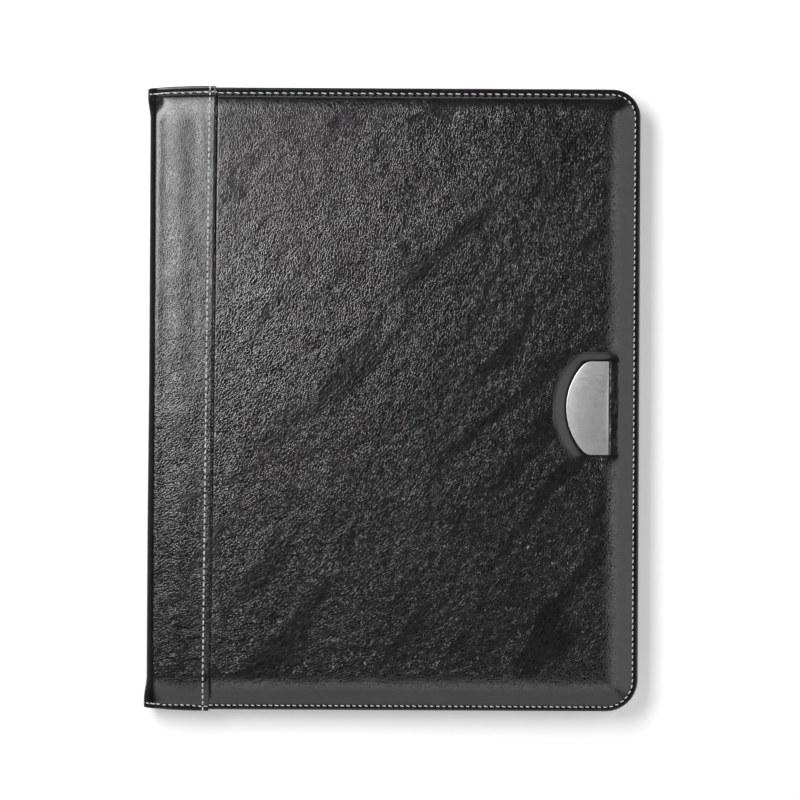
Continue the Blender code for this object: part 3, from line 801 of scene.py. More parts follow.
def relief(x, y, inset, amount):
    """Soft hollows and long slanting creases in the padded leather."""
    swell = 0.16 * waves(x, y, 34.0, 3.1)
    turn = math.radians(50)
    along = x * math.cos(turn) + y * math.sin(turn)
    across = -x * math.sin(turn) + y * math.cos(turn)
    bend = 5.0 * waves(x, y, 60.0, 8.2, 1)
    ridge = waves(along / 5.0, across + bend, 8.0, 5.7)
    where = smooth(0.5 + 1.6 * waves(x, y, 70.0, 1.3, 1))
    crease = -0.045 * bell(ridge / 0.40) * where
    return (swell + crease) * amount * smooth((inset - 5) / 12)


def add_hem(verts, faces, border, outward, normal, radius, turn_in, steps=8):
    """Carries a surface round its border and back under itself."""
    base = verts[border]
    radius = np.broadcast_to(radius, len(base))[:, None]
    rings = []
    for angle in math.pi * np.arange(1, steps + 1) / steps:
        over = outward * EDGE_REACH * math.sin(angle)
        rings.append(base + over - normal * radius * (1 - math.cos(angle)))
    for share in (1 / 3, 2 / 3, 1):
        rings.append(base - outward * turn_in * share - normal * 2 * radius)
    all_faces = [faces]
    previous = border
    for i in range(len(rings)):
        current = len(verts) + i * len(border) + np.arange(len(border))
        quads = [previous[:-1], previous[1:], current[1:], current[:-1]]
        all_faces.append(np.stack(quads, axis=1))
        previous = current
    return np.concatenate([verts, *rings]), np.concatenate(all_faces)


def outward_at(x, y):
    """The outward direction in the plane at points on a cover's three free edges."""
    direction = np.zeros((len(x), 3))
    for i, (a, b) in enumerate(zip(x, y)):
        radius = CORNER_HEAD if b > 0 else CORNER_FOOT
        sign = 1 if b > 0 else -1
        center_x, center_y = RIGHT - radius, sign * (HEAD - radius)
        if a > center_x and sign * (b - center_y) > 0:
            length = math.hypot(a - center_x, b - center_y)
            direction[i] = ((a - center_x) / length, (b - center_y) / length, 0)
        elif a > RIGHT - EDGE_REACH - 0.01:
            direction[i] = (1, 0, 0)
        else:
            direction[i] = (0, sign, 0)
    return direction


def under_drop(x):
    """How far the cover's leather dips where it runs on under the spine leather."""
    return UNDER_DROP * smooth((FLANGE_X + 1.0 - x) / 9.0)


def cover_grid(front):
    """A cover's grid lines, closest where its surface turns most."""
    right, low, high = RIGHT - EDGE_REACH, FOOT + EDGE_REACH, HEAD - EDGE_REACH
    if not front:
        xs = lines((UNDER_X, -83.0, 1.4), (-83.0, 112.0, 2.2), (112.0, 121.0, 1.1), (121.0, right, 0.6))
        ends = (low, -154.0, 0.6), (-154.0, -144.0, 1.1), (144.0, 154.0, 1.1), (154.0, high, 0.6)
        return xs, lines(*ends[:2], (-144.0, 144.0, 2.2), *ends[2:])
    step = 1.66
    xs = lines(
        (UNDER_X, FLANGE_X, 3.4), (FLANGE_X, -94.0, 1.2), (-94.0, -90.4, 0.36), (-90.4, -83.0, 1.2),
        (-83.0, 78.0, step), (78.0, 116.0, 1.0), (116.0, 121.0, 0.9), (121.0, right, 0.5),
    )
    ys = lines(
        (low, -154.0, 0.5), (-154.0, -144.0, 1.0), (-144.0, -34.0, step), (-34.0, 26.0, 1.0),
        (26.0, 144.0, step), (144.0, 154.0, 1.0), (154.0, high, 0.5),
    )
    return xs, ys


def make_cover_leather(cover):
    """A cover's padded leather panel, from under the lap seam round its three free edges."""
    xs, ys = cover_grid(cover.front)
    x, y = round_grid(xs, ys, (0, CORNER_FOOT - EDGE_REACH, CORNER_HEAD - EDGE_REACH, 0))
    x = x + slant(y) * (1 - smooth((x + 98.0) / 40.0))
    height = panel_height(x, y, cover) - under_drop(x)
    ease = smooth((x - fold_at(y) - 2) / 10)
    if cover.front:
        distance, width = plate_distance(x, y)
        ease = ease * smooth((distance - width) / 8)
    height = height + relief(x, y, inset_of(x, y), 1.0 if cover.front else 0.7) * ease
    if not cover.front:
        height = np.minimum(height, cover.thick)
    verts = surface(x, y, cover.to_z(height))
    border = grid_border(*x.shape)
    base = verts[border]
    outward = outward_at(base[:, 0], base[:, 1])
    normal = np.tile([0.0, 0.0, cover.up], (len(border), 1))
    radius = EDGE_ROLL - under_drop(base[:, 0]) / 2
    faces = grid_faces(*x.shape)
    verts, faces = add_hem(verts, faces, border, outward, normal, radius, TURN_IN)
    if not cover.front:
        faces = faces[:, ::-1]
    x, y = verts[:, 0], verts[:, 1]
    right_foot = np.minimum(RIGHT - x, y - FOOT)
    grain = smooth((right_foot - 8.0) / 11) * (0.45 + 0.55 * smooth((HEAD - y - 4) / 8))
    grain = grain * worn_smooth(x, y)
    if cover.front:
        distance, width = plate_distance(x, y)
        halo = smooth((distance - width + 0.5) / 2.5)
        beside = smooth((x - PLATE_X - 0.3) / 0.8) * (np.abs(y - PLATE_Y) < PLATE_HEIGHT / 2)
        under = smooth((PLATE_Y - PLATE_HEIGHT / 2 - 0.3 - y) / 1.2) * smooth((x - 92) / 8)
        grain = grain * np.maximum(halo, under)
        grain = np.maximum(grain, beside * smooth((RIGHT - x - 9.6) / 2.5) * 0.8)
    facts = {"grain": grain, "wear": smooth((2.2 - inset_of(x, y)) / 2.2) * 0.25}
    name = f"{cover.side}_cover_leather"
    return sheet_piece(name, verts, faces, LEATHER, LEATHER_LOOK, "black_leather", facts)


def make_cover_foam(cover):
    """The foam between a cover's board and its leather."""
    xs = lines((COVER_X + 1.0, RIGHT - FOAM_INSET, 3.0))
    ys = lines((FOOT + FOAM_INSET, HEAD - FOAM_INSET, 3.0))
    x, y = round_grid(xs, ys, (0, CORNER_FOOT - FOAM_INSET, CORNER_HEAD - FOAM_INSET, 0))
    panel = panel_height(x, y, cover) - LEATHER
    strip = strip_height(x, y, cover.thick) - LAP - STRIP - 0.45
    top = np.where(x < FLANGE_X + slant(y) + 1.0, np.minimum(strip, panel), panel) - 0.45
    upper = surface(x, y, cover.to_z(np.maximum(top, BOARD_TOP + 0.25)))
    lower = surface(x, y, cover.to_z(BOARD_TOP + 0 * x))
    verts, faces = close(upper, lower, grid_faces(*x.shape))
    faces = facing_out(verts, faces)
    return make_piece(f"{cover.side}_cover_foam", verts, faces, FOAM_LOOK)


def strip_section(cover, ys):
    """The spine leather from its folded edge, over the cover and round the crease to mid wall."""
    thick = cover.thick
    edge = fold_at(ys) - FOLD_RADIUS
    rows = []
    for back in (5.5, 4.0, 2.5, 1.2):
        rows.append((edge - back, strip_height(edge - back, ys, thick) - 2 * FOLD_RADIUS))
    middle = strip_height(edge, ys, thick) - FOLD_RADIUS
    for angle in FOLD_TURN:
        rows.append((edge + FOLD_RADIUS * math.cos(angle), middle + FOLD_RADIUS * math.sin(angle)))
    for share in np.linspace(0, 1, 30)[:-1] ** 1.4:
        x = edge * (1 - share) + CREASE_X * share
        rows.append((x, strip_height(x, ys, thick)))
    center = strip_height(CREASE_X + 0 * ys, ys, thick) - CREASE_RADIUS + droop(CREASE_X)
    left = left_at(ys)
    for angle in np.radians(np.linspace(90, 180, 10))[:-1]:
        x = CREASE_X + (CREASE_X - left) * math.cos(angle)
        rows.append((x, center - droop(x) + CREASE_RADIUS * math.sin(angle)))
    wall_top = center - droop(left)
    wall_end = abs(MIDDLE_Z - cover.level)
    for share in np.linspace(0, 1, 7):
        bulge = 0.45 * (1 - (1 - share) ** 2)
        rows.append((left - bulge, wall_top * (1 - share) - wall_end * share))
    x, h = np.array(rows).transpose(1, 0, 2)
    return x, h


def strip_grid(cover):
    """The spine leather's points: its section, pinched at the spine's ends and proud by the seam."""
    ys = lines(
        (FOOT + EDGE_REACH, -154.0, 0.6), (-154.0, -140.0, 0.9), (-140.0, 140.0, 1.6),
        (140.0, 154.0, 0.9), (154.0, HEAD - EDGE_REACH, 0.6),
    )
    x, h = strip_section(cover, ys)
    y = np.broadcast_to(ys, x.shape)
    lap = smooth((x - (FLANGE_X + slant(y) - LAP_REACH)) / LAP_REACH)
    y = y + near_end(y) * (0.55 * lap - 0.35 * smooth((-112 - x) / 12))
    upper = smooth((h - cover.thick + 6.5) / 2.5)
    for sign, depth in ((1, 1.5), (-1, 0.9)):
        h = h - depth * bell((x + 121.6) / 3.0) * bell((y - sign * 151.8) / 5.2) * upper
    inset = end_inset(y)
    soft = 0.14 * waves(x, y, 22.0, 6.4) * smooth((inset - 3) / 10)
    strokes = -0.10 * bell(waves(x * 0.9 + y * 0.35, y * 0.3, 7.0, 2.2) / 0.2)
    strokes = strokes * smooth((-40 - y) / 50) * smooth((inset - 8) / 10)
    on_top = smooth((x + 124.5) / 4) * smooth((fold_at(y) - 6 - x) / 4)
    return ys, np.stack([x, y, cover.to_z(h + (soft + strokes) * on_top * upper)], axis=-1)


def section_normals(section, up):
    """The outward normals of a line of points that runs across the spine."""
    tangent = np.gradient(section, axis=0)
    tangent[:, 1] = 0
    tangent /= np.linalg.norm(tangent, axis=1, keepdims=True)
    normal = np.cross([0.0, 1.0, 0.0], tangent)
    crown = np.argmax(section[:, 2] * up)
    return -normal if normal[crown, 2] * up < 0 else normal


def make_strip(cover, grid):
    """One side's spine leather, its ends turned in at the head and the foot."""
    count_u, count_v = grid.shape[:2]
    verts, faces = grid.reshape(-1, 3), grid_faces(count_u, count_v)
    share = smooth((grid[:, 0, 0] - (FLANGE_X - LAP_REACH)) / (LAP_REACH - 0.5))
    radius = EDGE_ROLL - (EDGE_ROLL - FOLD_RADIUS) * share
    # The folded layer turns in between the two layers of the lap.
    radius[:4] = TIGHT_RADIUS
    radius[4:11] = TIGHT_RADIUS + (FOLD_RADIUS - TIGHT_RADIUS) * (1 + np.sin(FOLD_TURN)) / 2
    for end, sign in ((count_v - 1, 1), (0, -1)):
        normal = section_normals(grid[:, end], cover.up)
        border = np.arange(count_u) * count_v + end
        outward = np.array([0.0, sign, 0.0])
        parts = border[::sign], outward, normal[::sign], radius[::sign]
        verts, faces = add_hem(verts, faces, *parts, TURN_IN - 0.5)
    # The section runs towards -X, so its faces look down until they are turned over.
    if cover.front:
        faces = faces[:, ::-1]
    x, y = verts[:, 0], verts[:, 1]
    inset = end_inset(y)
    grain = np.where(y < 0, smooth((inset - 9) / 8), smooth((inset - 3) / 7))
    grain = grain * (0.35 + 0.65 * smooth((x + 124.6) / 3.0)) * worn_smooth(x, y)
    grain = grain * (0.52 + 0.28 * smooth((70 - y) / 120))
    wear = smooth((1.8 - inset) / 1.8) * 0.6 + 0.25 * bell((x + 124.3) / 1.2)
    facts = {"grain": grain, "wear": wear, "dull": smooth((-120.9 - x) / 1.2)}
    name = f"spine_leather_{cover.side}"
    return sheet_piece(name, verts, faces, STRIP, LEATHER_LOOK, "black_leather", facts)


# Stitching


def rail(points, ups):
    """A path: its points, which way is up at each, and the length along it."""
    points = np.asarray(points, float)
    steps = np.linalg.norm(np.diff(points, axis=0), axis=1)
    return points, np.broadcast_to(ups, points.shape), np.concatenate([[0], np.cumsum(steps)])


def at(path, distance):
    """The place on a path, the way along it and the way up."""
    points, ups, lengths = path

    def read(values, where):
        return np.array([np.interp(where, lengths, values[:, i]) for i in range(3)])

    along = read(points, distance + 0.6) - read(points, distance - 0.6)
    along /= max(np.linalg.norm(along), 1e-9)
    up = read(ups, distance)
    up = up - along * np.dot(up, along)
    return read(points, distance), along, up / max(np.linalg.norm(up), 1e-9)


def refined(points, step):
    """The same path with its runs cut into steps."""
    points = np.asarray(points, float)
    fine = []
    for a, b in zip(points, points[1:]):
        pieces = max(1, int(math.dist(a, b) / step))
        fine += [a + (b - a) * i / pieces for i in range(pieces)]
    return np.array(fine + [points[-1]])


def one_stitch(place, along, up, length, radius, lean, twist):
    """A short two-ply stitch that dips into the leather at both ends."""
    direction = along * math.cos(lean) + np.cross(along, up) * math.sin(lean)
    across = np.cross(direction, up)
    u = np.linspace(-1, 1, RINGS)[:, None, None]
    angle = 2 * math.pi * np.arange(SIDES)[:, None] / SIDES
    size = radius * (1 - 0.30 * u**6) * (1 + 0.14 * np.cos(2 * (angle - twist - 2.2 * u)))
    rise = radius * (0.75 - 2.1 * u**4) + np.sin(angle) * size * 0.85
    verts = place + direction * u * length / 2 + across * np.cos(angle) * size + up * rise
    return verts.reshape(-1, 3)


def stitch_row(name, path, row, seed, widen=None):
    """Separate stitches along a path, further apart and longer where widen says so."""
    pitch, length, radius, lean = row
    draw = random.Random(seed)
    total = path[2][-1]
    middles, shares = [], []
    middle = pitch / 2
    while middle < total - pitch * 0.3:
        share = 1.0 if widen is None else widen(at(path, middle)[0])
        middles.append(middle)
        shares.append(share)
        middle += pitch * share
    fit = (total - pitch / 2) / middles[-1]
    verts, faces = [], []
    for i, (middle, share) in enumerate(zip(middles, shares)):
        size = length * share * draw.uniform(0.93, 1.06)
        angle = math.radians(lean + draw.uniform(-3.5, 3.5))
        thick = radius * draw.uniform(0.93, 1.07)
        start = i * RINGS * SIDES
        verts.append(one_stitch(*at(path, middle * fit), size, thick, angle, draw.uniform(0, 3)))
        faces += [[start + corner for corner in face] for face in tube_faces(RINGS, SIDES)]
    return make_piece(name, np.concatenate(verts), faces, THREAD_LOOK)


def edge_path(inset, start_x):
    """Points on a cover's free sides, from the head's spine end to the foot's."""
    points = [(start_x, HEAD - inset)]
    for radius, center_y, begin, finish in (
        (CORNER_HEAD, HEAD - CORNER_HEAD, 90, 0),
        (CORNER_FOOT, FOOT + CORNER_FOOT, 0, -90),
    ):
        reach = radius - inset
        for angle in np.radians(np.linspace(begin, finish, 12)):
            across, along = reach * math.cos(angle), reach * math.sin(angle)
            points.append((RIGHT - radius + across, center_y + along))
    points.append((start_x, FOOT + inset))
    return refined(points, 0.8)


def widest_at_head(place):
    """The stitches are longest along the middle of the head."""
    return 1.0 + 0.32 * smooth((place[1] - 140) / 15) * smooth((112 - place[0]) / 12)


def make_stitching(cover):
    """The row round a cover's free sides, inside and out, and the row down the lap seam."""
    side, to_z, up, seed = cover.side, cover.to_z, cover.up, cover.seed
    x, flat_y = edge_path(STITCH_IN, COVER_X).T
    proud = np.sign(flat_y) * 0.5 * smooth((x + 103) / 4) * (x < fold_at(flat_y))
    y = flat_y + proud
    y = y - 0.5 * smooth((-y - 120) / 30) - 0.3 * smooth((-x - 88) / 8) * (y > 0)
    strip, panel = strip_height(x, flat_y, cover.thick), panel_height(x, flat_y, cover)
    z = to_z(np.where(x < fold_at(flat_y), strip, panel))
    path = rail(surface(x, y, z), (0.0, 0.0, up))
    name = f"{side}_edge_stitches"
    row = stitch_row(name, path, EDGE_ROW, 11 + seed, widest_at_head)
    settle(row, cover.body, f"{side}_edge_thread")
    # Inside the back cover the thread is pulled flush, so that the pad slides over it.
    inside, sunk = (FRONT_INSIDE_ROW, 0.0) if cover.front else (BACK_INSIDE_ROW, 0.29)
    path = rail(surface(x, flat_y, to_z(sunk + 0 * x)), (0.0, 0.0, -up))
    row = stitch_row(name + "_inside", path, inside, 13 + seed, widest_at_head)
    settle(row, cover.body)
    ys = np.arange(HEAD + 0.2, FOOT - 0.3, -0.4)
    xs = SEAM_X + slant(ys)
    over = np.maximum(np.abs(ys) - HEAD + 0.8, 0)
    sunk = 0.06 if cover.front else 0.36
    z = to_z(strip_height(xs, ys, cover.thick) - sunk - over * over * 0.9)
    ys = ys + 0.5 * near_end(ys)
    path = rail(surface(xs, ys, z), (0.0, 0.0, up))
    row = stitch_row(f"{side}_seam_stitches", path, SEAM_ROW, 21 + seed)
    settle(row, cover.body, f"{side}_seam_thread")


def make_spine_stitches(cover, ys, grid):
    """The perimeter row where it turns over the spine, with a short tack at the cover's end."""
    for end, sign in (("head", 1), ("foot", -1)):
        section = grid[:, np.argmin(np.abs(ys - sign * (HEAD - STITCH_IN) + 0.4))]
        first = np.argmax(section[11:, 0] < COVER_X) + 11
        back, ahead = section[first - 1], section[first]
        share = (COVER_X - back[0]) / (ahead[0] - back[0])
        points = np.concatenate([[back + (ahead - back) * share], section[first:]])
        ups = section_normals(points, cover.up)
        name = f"spine_{end}_stitches_{cover.side}"
        row = stitch_row(name, rail(points, ups), SPINE_ROW, 31 + sign)
        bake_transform(row)
        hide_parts(f"spine_{end}_thread")
        name = f"spine_{end}_tack_{cover.side}"
        tack = stitch_row(name, rail(points[:7], ups[:7]), TACK_ROW, 51 + sign)
        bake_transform(tack)


# Lining


def make_gutter(cover):
    """The lining behind the spine, from under a cover's lining round the crease to mid wall."""
    ys = edged_lines(FOOT + 1.6, HEAD - 1.6, 7.4, 1.5, 3.0)
    turn = 2.2
    section = [(x, GUTTER_LEVEL) for x in (-112.0, -114.5, -117.0)]
    for angle in np.radians(np.linspace(90, 180, 9)):
        across, fall = 3.2 * math.cos(angle), turn * math.sin(angle) - turn
        section.append((GUTTER_X + 3.2 + across, GUTTER_LEVEL + fall))
    wall_end = -abs(MIDDLE_Z - cover.level)
    for share in np.linspace(0, 1, 6)[1:]:
        section.append((GUTTER_X, (GUTTER_LEVEL - turn) * (1 - share) + wall_end * share))
    section = np.array(section)
    x, h = section[:, :1] + 0 * ys, section[:, 1:] + 0 * ys
    y = np.broadcast_to(ys, x.shape)
    ripple = 0.10 * waves(x * 2, y, 18.0, 4.4) * smooth((-117.5 - x) / 2)
    verts = surface(x - np.abs(ripple) * 0.5, y, cover.to_z(h))
    faces = grid_faces(*x.shape)
    name = f"gutter_lining_{cover.side}"
    piece = sheet_piece(name, verts, faces, GUTTER_SHEET, LINING_LOOK, "lining")
    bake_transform(piece)
    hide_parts("spine_lining")


def make_lining(cover):
    """A cover's inside lining, pulled down a little where it is sewn."""
    low, high, right = FOOT + LINING_INSET, HEAD - LINING_INSET, RIGHT - LINING_INSET
    xs = lines((COVER_X, 110.0, 3.0), (110.0, right, 0.9))
    ys = edged_lines(low, high, 7.8, 0.9, 3.0)
    corners = CORNER_FOOT - LINING_INSET, CORNER_HEAD - LINING_INSET
    x, y = round_grid(xs, ys, (0, *corners, 0))
    depth = inset_of(x, y)
    height = 0.10 * bell((depth - STITCH_IN) / 0.7) + 0.16 * smooth((2.0 - depth) / 0.8)
    height = height + 0.05 * (1 + waves(x, y, 40.0, 9.3, 1)) * smooth((depth - 4) / 10)
    size = (right - COVER_X, high - low)
    area = size[0] * size[1] - CORNER_LOSS * sum(corner**2 for corner in corners)
    sew(
        f"{cover.side}_cover_lining", x, y, cover.to_z(height), -LINING_SHEET * cover.up, size,
        area, cover.body, f"{cover.side}_lining",
    )


def make_cover(cover):
    leather = make_cover_leather(cover)
    settle(leather, cover.body, f"{cover.side}_leather")
    foam = make_cover_foam(cover)
    settle(foam, cover.body, f"{cover.side}_foam")
    ys, grid = strip_grid(cover)
    strip = make_strip(cover, grid)
    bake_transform(strip)
    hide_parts(f"{cover.side}_spine_leather", "spine_leather")
    make_stitching(cover)
    make_spine_stitches(cover, ys, grid)
    make_lining(cover)
    make_gutter(cover)


make_cover(Cover("front", FRONT_THICK, 1.0, FRONT_Z, UPPER_CREASE_Z))
make_cover(Cover("back", BACK_THICK, -1.0, BACK_THICK, LOWER_CREASE_Z))


# The plate


def shrink(outline, inset):
    """A closed outline drawn in along its own normals."""
    tangent = np.roll(outline, -1, axis=0) - np.roll(outline, 1, axis=0)
    tangent /= np.linalg.norm(tangent, axis=1, keepdims=True)
    return outline + np.stack([-tangent[:, 1], tangent[:, 0]], axis=1) * inset


def plate_outline():
    half = PLATE_HEIGHT / 2
    reach = math.asin(half / PLATE_ARC)
    angles = np.linspace(math.pi - reach, math.pi + reach, 61)[:, None]
    arc = np.hstack([np.cos(angles), np.sin(angles)]) * PLATE_ARC
    arc = arc + (PLATE_X - PLATE_WIDTH + PLATE_ARC, PLATE_Y)
    low, high = np.array([PLATE_X, PLATE_Y - half]), np.array([PLATE_X, PLATE_Y + half])
    left = arc[-1, 0]
    parts = [arc]
    for start, end, count in (((left, low[1]), low, 22), (low, high, 45), (high, (left, high[1]), 22)):
        shares = np.linspace(0, 1, count)[1:, None]
        parts.append(start + (np.array(end) - start) * shares)
    outline = np.concatenate(parts)[:-1]
    # Rounds the two blunt corners where the arc meets the straight ends.
    for _ in range(10):
        mean = (np.roll(outline, 1, axis=0) + np.roll(outline, -1, axis=0)) / 2
        outline = outline + (mean - outline) * bell((outline[:, :1] - left) / 3.2) * 0.9
    return outline


def make_plate():
    """The D-shaped plate: a low dome with a rounded rim."""
    outline = plate_outline()
    middle = np.array([PLATE_X - 9.0, PLATE_Y])
    rim = 0.24
    profile = ((0.35, -0.82), (0.08, -0.76), (0.0, -0.58), (0.0, -0.12), (0.03, -0.06), (0.10, -0.02))
    rings = [(shrink(outline, inset), PLATE_Z + z) for inset, z in (*profile, (rim, 0.0))]
    for share in (0.97, 0.93, 0.88, 0.82, 0.75, 0.67, 0.58, 0.48, 0.37, 0.25, 0.12):
        ring = middle + (shrink(outline, rim) - middle) * share
        across = 1 - ((ring[:, 0] - middle[0]) / 13.0) ** 2
        along = 1 - ((ring[:, 1] - PLATE_Y) / 28.0) ** 2
        rings.append((ring, PLATE_Z + PLATE_CROWN * across * along * (1 - share**8)))
    verts = [np.column_stack([ring, np.full(len(ring), z)]) for ring, z in rings]
    faces = tube_faces(len(rings), len(outline))
    verts = np.concatenate(verts)
    piece = make_piece("satin_plate", verts, faces, STEEL_LOOK, sharp=60)
    settle(piece, "front_cover", "accent_plate")


make_plate()


# Pockets on the front cover's lining, which are seen from below


def row_along(name, points, z, up, body, seed):
    """A row of stitches along straight runs at one height."""
    path = rail(refined([(x, y, z) for x, y in points], 1.0), (0.0, 0.0, up))
    settle(stitch_row(name, path, POCKET_ROW, seed), body)


def nearest(*distances):
    return np.minimum.reduce(distances)


def both_sides(left, right, side):
    """A seam down one side, given as distances in and heights along Y, and back up the other."""
    return [(left + a, y) for a, y in side] + [(right - a, y) for a, y in reversed(side)]


def make_document_pocket():
    left, right, low = PAD_LEFT, RIGHT - POCKET_INSET, FOOT + POCKET_INSET
    mouth = low + POCKET_HEIGHT
    xs = lines((left, left + 3, 1.0), (left + 3, right - 12, 3.5), (right - 12, right, 1.0))
    ys = lines((low, low + 12, 1.0), (low + 12, mouth - 4, 3.5), (mouth - 4, mouth, 0.8))
    x, y = round_grid(xs, ys, (0, POCKET_CORNER, 0, 0))
    mouth_y = mouth - POCKET_FALL * (x - left) / (right - left)
    y = low + (y - low) * (mouth_y - low) / POCKET_HEIGHT
    near = nearest(x - left, right - x, y - low)
    z = POCKET_Z - 0.10 * smooth(near / 6) + 0.10 * waves(x, y, 45.0, 7.7, 1) * smooth(near / 15)
    z = np.clip(z - 0.16 * bell((mouth_y - y - 1.5) / 1.2), 14.0, 14.5)
    area = (right - left) * (POCKET_HEIGHT - POCKET_FALL / 2) - CORNER_LOSS * POCKET_CORNER**2
    sew(
        "document_pocket_panel", x, y, z, LINING_SHEET, (right - left, POCKET_HEIGHT), area,
        "front_cover", "document_pocket",
    )
    seam = [
        (left + 2, mouth - 4), (left + 2, low + 2), (right - 10, low + 2),
        (right - 4.2, low + 4.2), (right - 2, low + 10), (right - 2, mouth - 36),
    ]
    row_along("document_pocket_stitches", seam, POCKET_SEAM_Z, -1.0, "front_cover", 41)


def card_place(column, row):
    """The lower left corner of a card pocket."""
    right = RIGHT - POCKET_INSET - 6.0
    return right - CARD_WIDTH - column * CARD_COLUMN, FOOT + POCKET_INSET + 12.0 + row * CARD_ROW


def make_card_pocket(name, column, row, seed):
    """A patch pocket whose mouth has a round notch for the thumb."""
    left, low = card_place(column, row)
    right, high = left + CARD_WIDTH, low + CARD_HEIGHT
    middle = left + CARD_WIDTH / 2
    xs = lines(
        (left, left + 5, 1.0), (left + 5, middle - 11, 3.0), (middle - 11, middle + 11, 0.55),
        (middle + 11, right - 5, 3.0), (right - 5, right, 1.0),
    )
    ys = lines((low, low + 5, 1.0), (low + 5, low + 40, 2.5), (low + 40, high, 1.0))
    x, y = round_grid(xs, ys, (CARD_CORNER, CARD_CORNER, 0, 0))
    off = np.clip(np.abs(x - middle) / NOTCH, 0, 1)
    y = y - NOTCH * np.sqrt(np.maximum(1 - off * off, 0)) * smooth((y - low - 20) / 36)
    near = nearest(x - left, right - x, y - low)
    z = CARD_Z - 0.12 * smooth(near / 5) - 0.06 * waves(x, y, 25.0, seed * 1.7, 1)
    area = CARD_WIDTH * CARD_HEIGHT - math.pi * NOTCH**2 / 2 - 2 * CORNER_LOSS * CARD_CORNER**2
    sew(
        name + "_panel", x, y, np.clip(z, 13.42, 13.62), CARD_SHEET, (CARD_WIDTH, CARD_HEIGHT),
        area, "front_cover", name,
    )
    seam = both_sides(left, right, [(1.6, high - 1), (1.6, low + 4.5), (4.5, low + 1.6)])
    row_along(name + "_stitches", seam, CARD_SEAM_Z, -1.0, "front_cover", seed)


def make_id_window():
    """A framed pocket with a clear film behind its opening."""
    left, low = card_place(1, 1)
    right, high = left + CARD_WIDTH, low + CARD_HEIGHT
    xs = edged_lines(left, right, FRAME, 0.9, 2.5)
    ys = edged_lines(low, high, FRAME, 0.9, 2.5)
    x, y = round_grid(xs, ys, [CARD_CORNER] * 4)
    mid_x, mid_y = (xs[:-1] + xs[1:]) / 2, (ys[:-1] + ys[1:]) / 2
    in_x = np.abs(mid_x - (left + right) / 2) < CARD_WIDTH / 2 - FRAME
    in_y = np.abs(mid_y - (low + high) / 2) < CARD_HEIGHT / 2 - FRAME
    faces = grid_faces(*x.shape, ~(in_x[:, None] & in_y))
    outer = nearest(x - left, right - x, y - low, high - y)
    z = FRAME_Z - 0.14 * np.sin(np.clip(outer / FRAME, 0, 1) * math.pi)
    area = CARD_WIDTH * CARD_HEIGHT - (CARD_WIDTH - 2 * FRAME) * (CARD_HEIGHT - 2 * FRAME)
    sew(
        "id_window_border", x, y, z, FRAME_SHEET, (CARD_WIDTH, CARD_HEIGHT), area,
        "front_cover", "id_window_frame", faces,
    )
    inner = FRAME + 0.2
    xs = lines((left + inner, right - inner, 2.0))
    ys = lines((low + inner, high - inner, 2.0))
    x, y = np.meshgrid(xs, ys, indexing="ij")
    verts = surface(x, y, FILM_Z + 0.05 * waves(x, y, 22.0, 2.9, 1))
    faces = grid_faces(*x.shape)
    film = sheet_piece("id_window_clear_film", verts, faces, FILM_SHEET, FILM_LOOK, "film")
    settle(film, "front_cover", "id_window_film")
    seam = both_sides(left, right, [(1.6, high - 1), (1.6, low + 1.6)])
    row_along("id_window_stitches", seam, CARD_SEAM_Z, -1.0, "front_cover", 47)


make_document_pocket()
make_card_pocket("card_pocket_lower", 0, 0, 42)
make_card_pocket("card_pocket_upper", 0, 1, 43)
make_card_pocket("card_pocket_inner", 1, 0, 44)
make_id_window()


def make_pen_loop():
    """A ribbed elastic band round a flattened bore."""
    high_z, low_z = FRONT_Z - 0.3, BACK_THICK + 0.4
    radius = (high_z - low_z) / 2
    right = PAD_LEFT - 2.0
    left = right - LOOP_WIDTH
    ring = []
    for center, begin in ((right - radius, -90), (left + radius, 90)):
        for angle in np.radians(np.linspace(begin, begin + 180, 13)):
            ring.append((center, math.cos(angle), math.sin(angle)))
    ys = np.linspace(LOOP_FOOT, LOOP_FOOT + LOOP_HEIGHT, 41)
    rib = 0.06 * np.cos((ys - ys[0]) / LOOP_HEIGHT * 2 * math.pi * LOOP_RIBS)
    hem = -0.20 * (bell((ys - ys[0]) / 0.5) + bell((ys - ys[-1]) / 0.5))
    outer = zip(ys, radius + rib + hem - 0.06)
    across = [*outer, *((y, radius - 0.78) for y in ys[::-1])]
    middle_z = (high_z + low_z) / 2
    verts = np.array([(x + dx * size, y, middle_z + dz * size) for y, size in across for x, dx, dz in ring])
    faces = facing_out(verts, band_faces(len(across), len(ring), closed=True))
    piece = make_piece("elastic_pen_loop", verts, faces, ELASTIC_LOOK)
    settle(piece, "front_cover", "pen_loop")


make_pen_loop()


# The holder and the pad


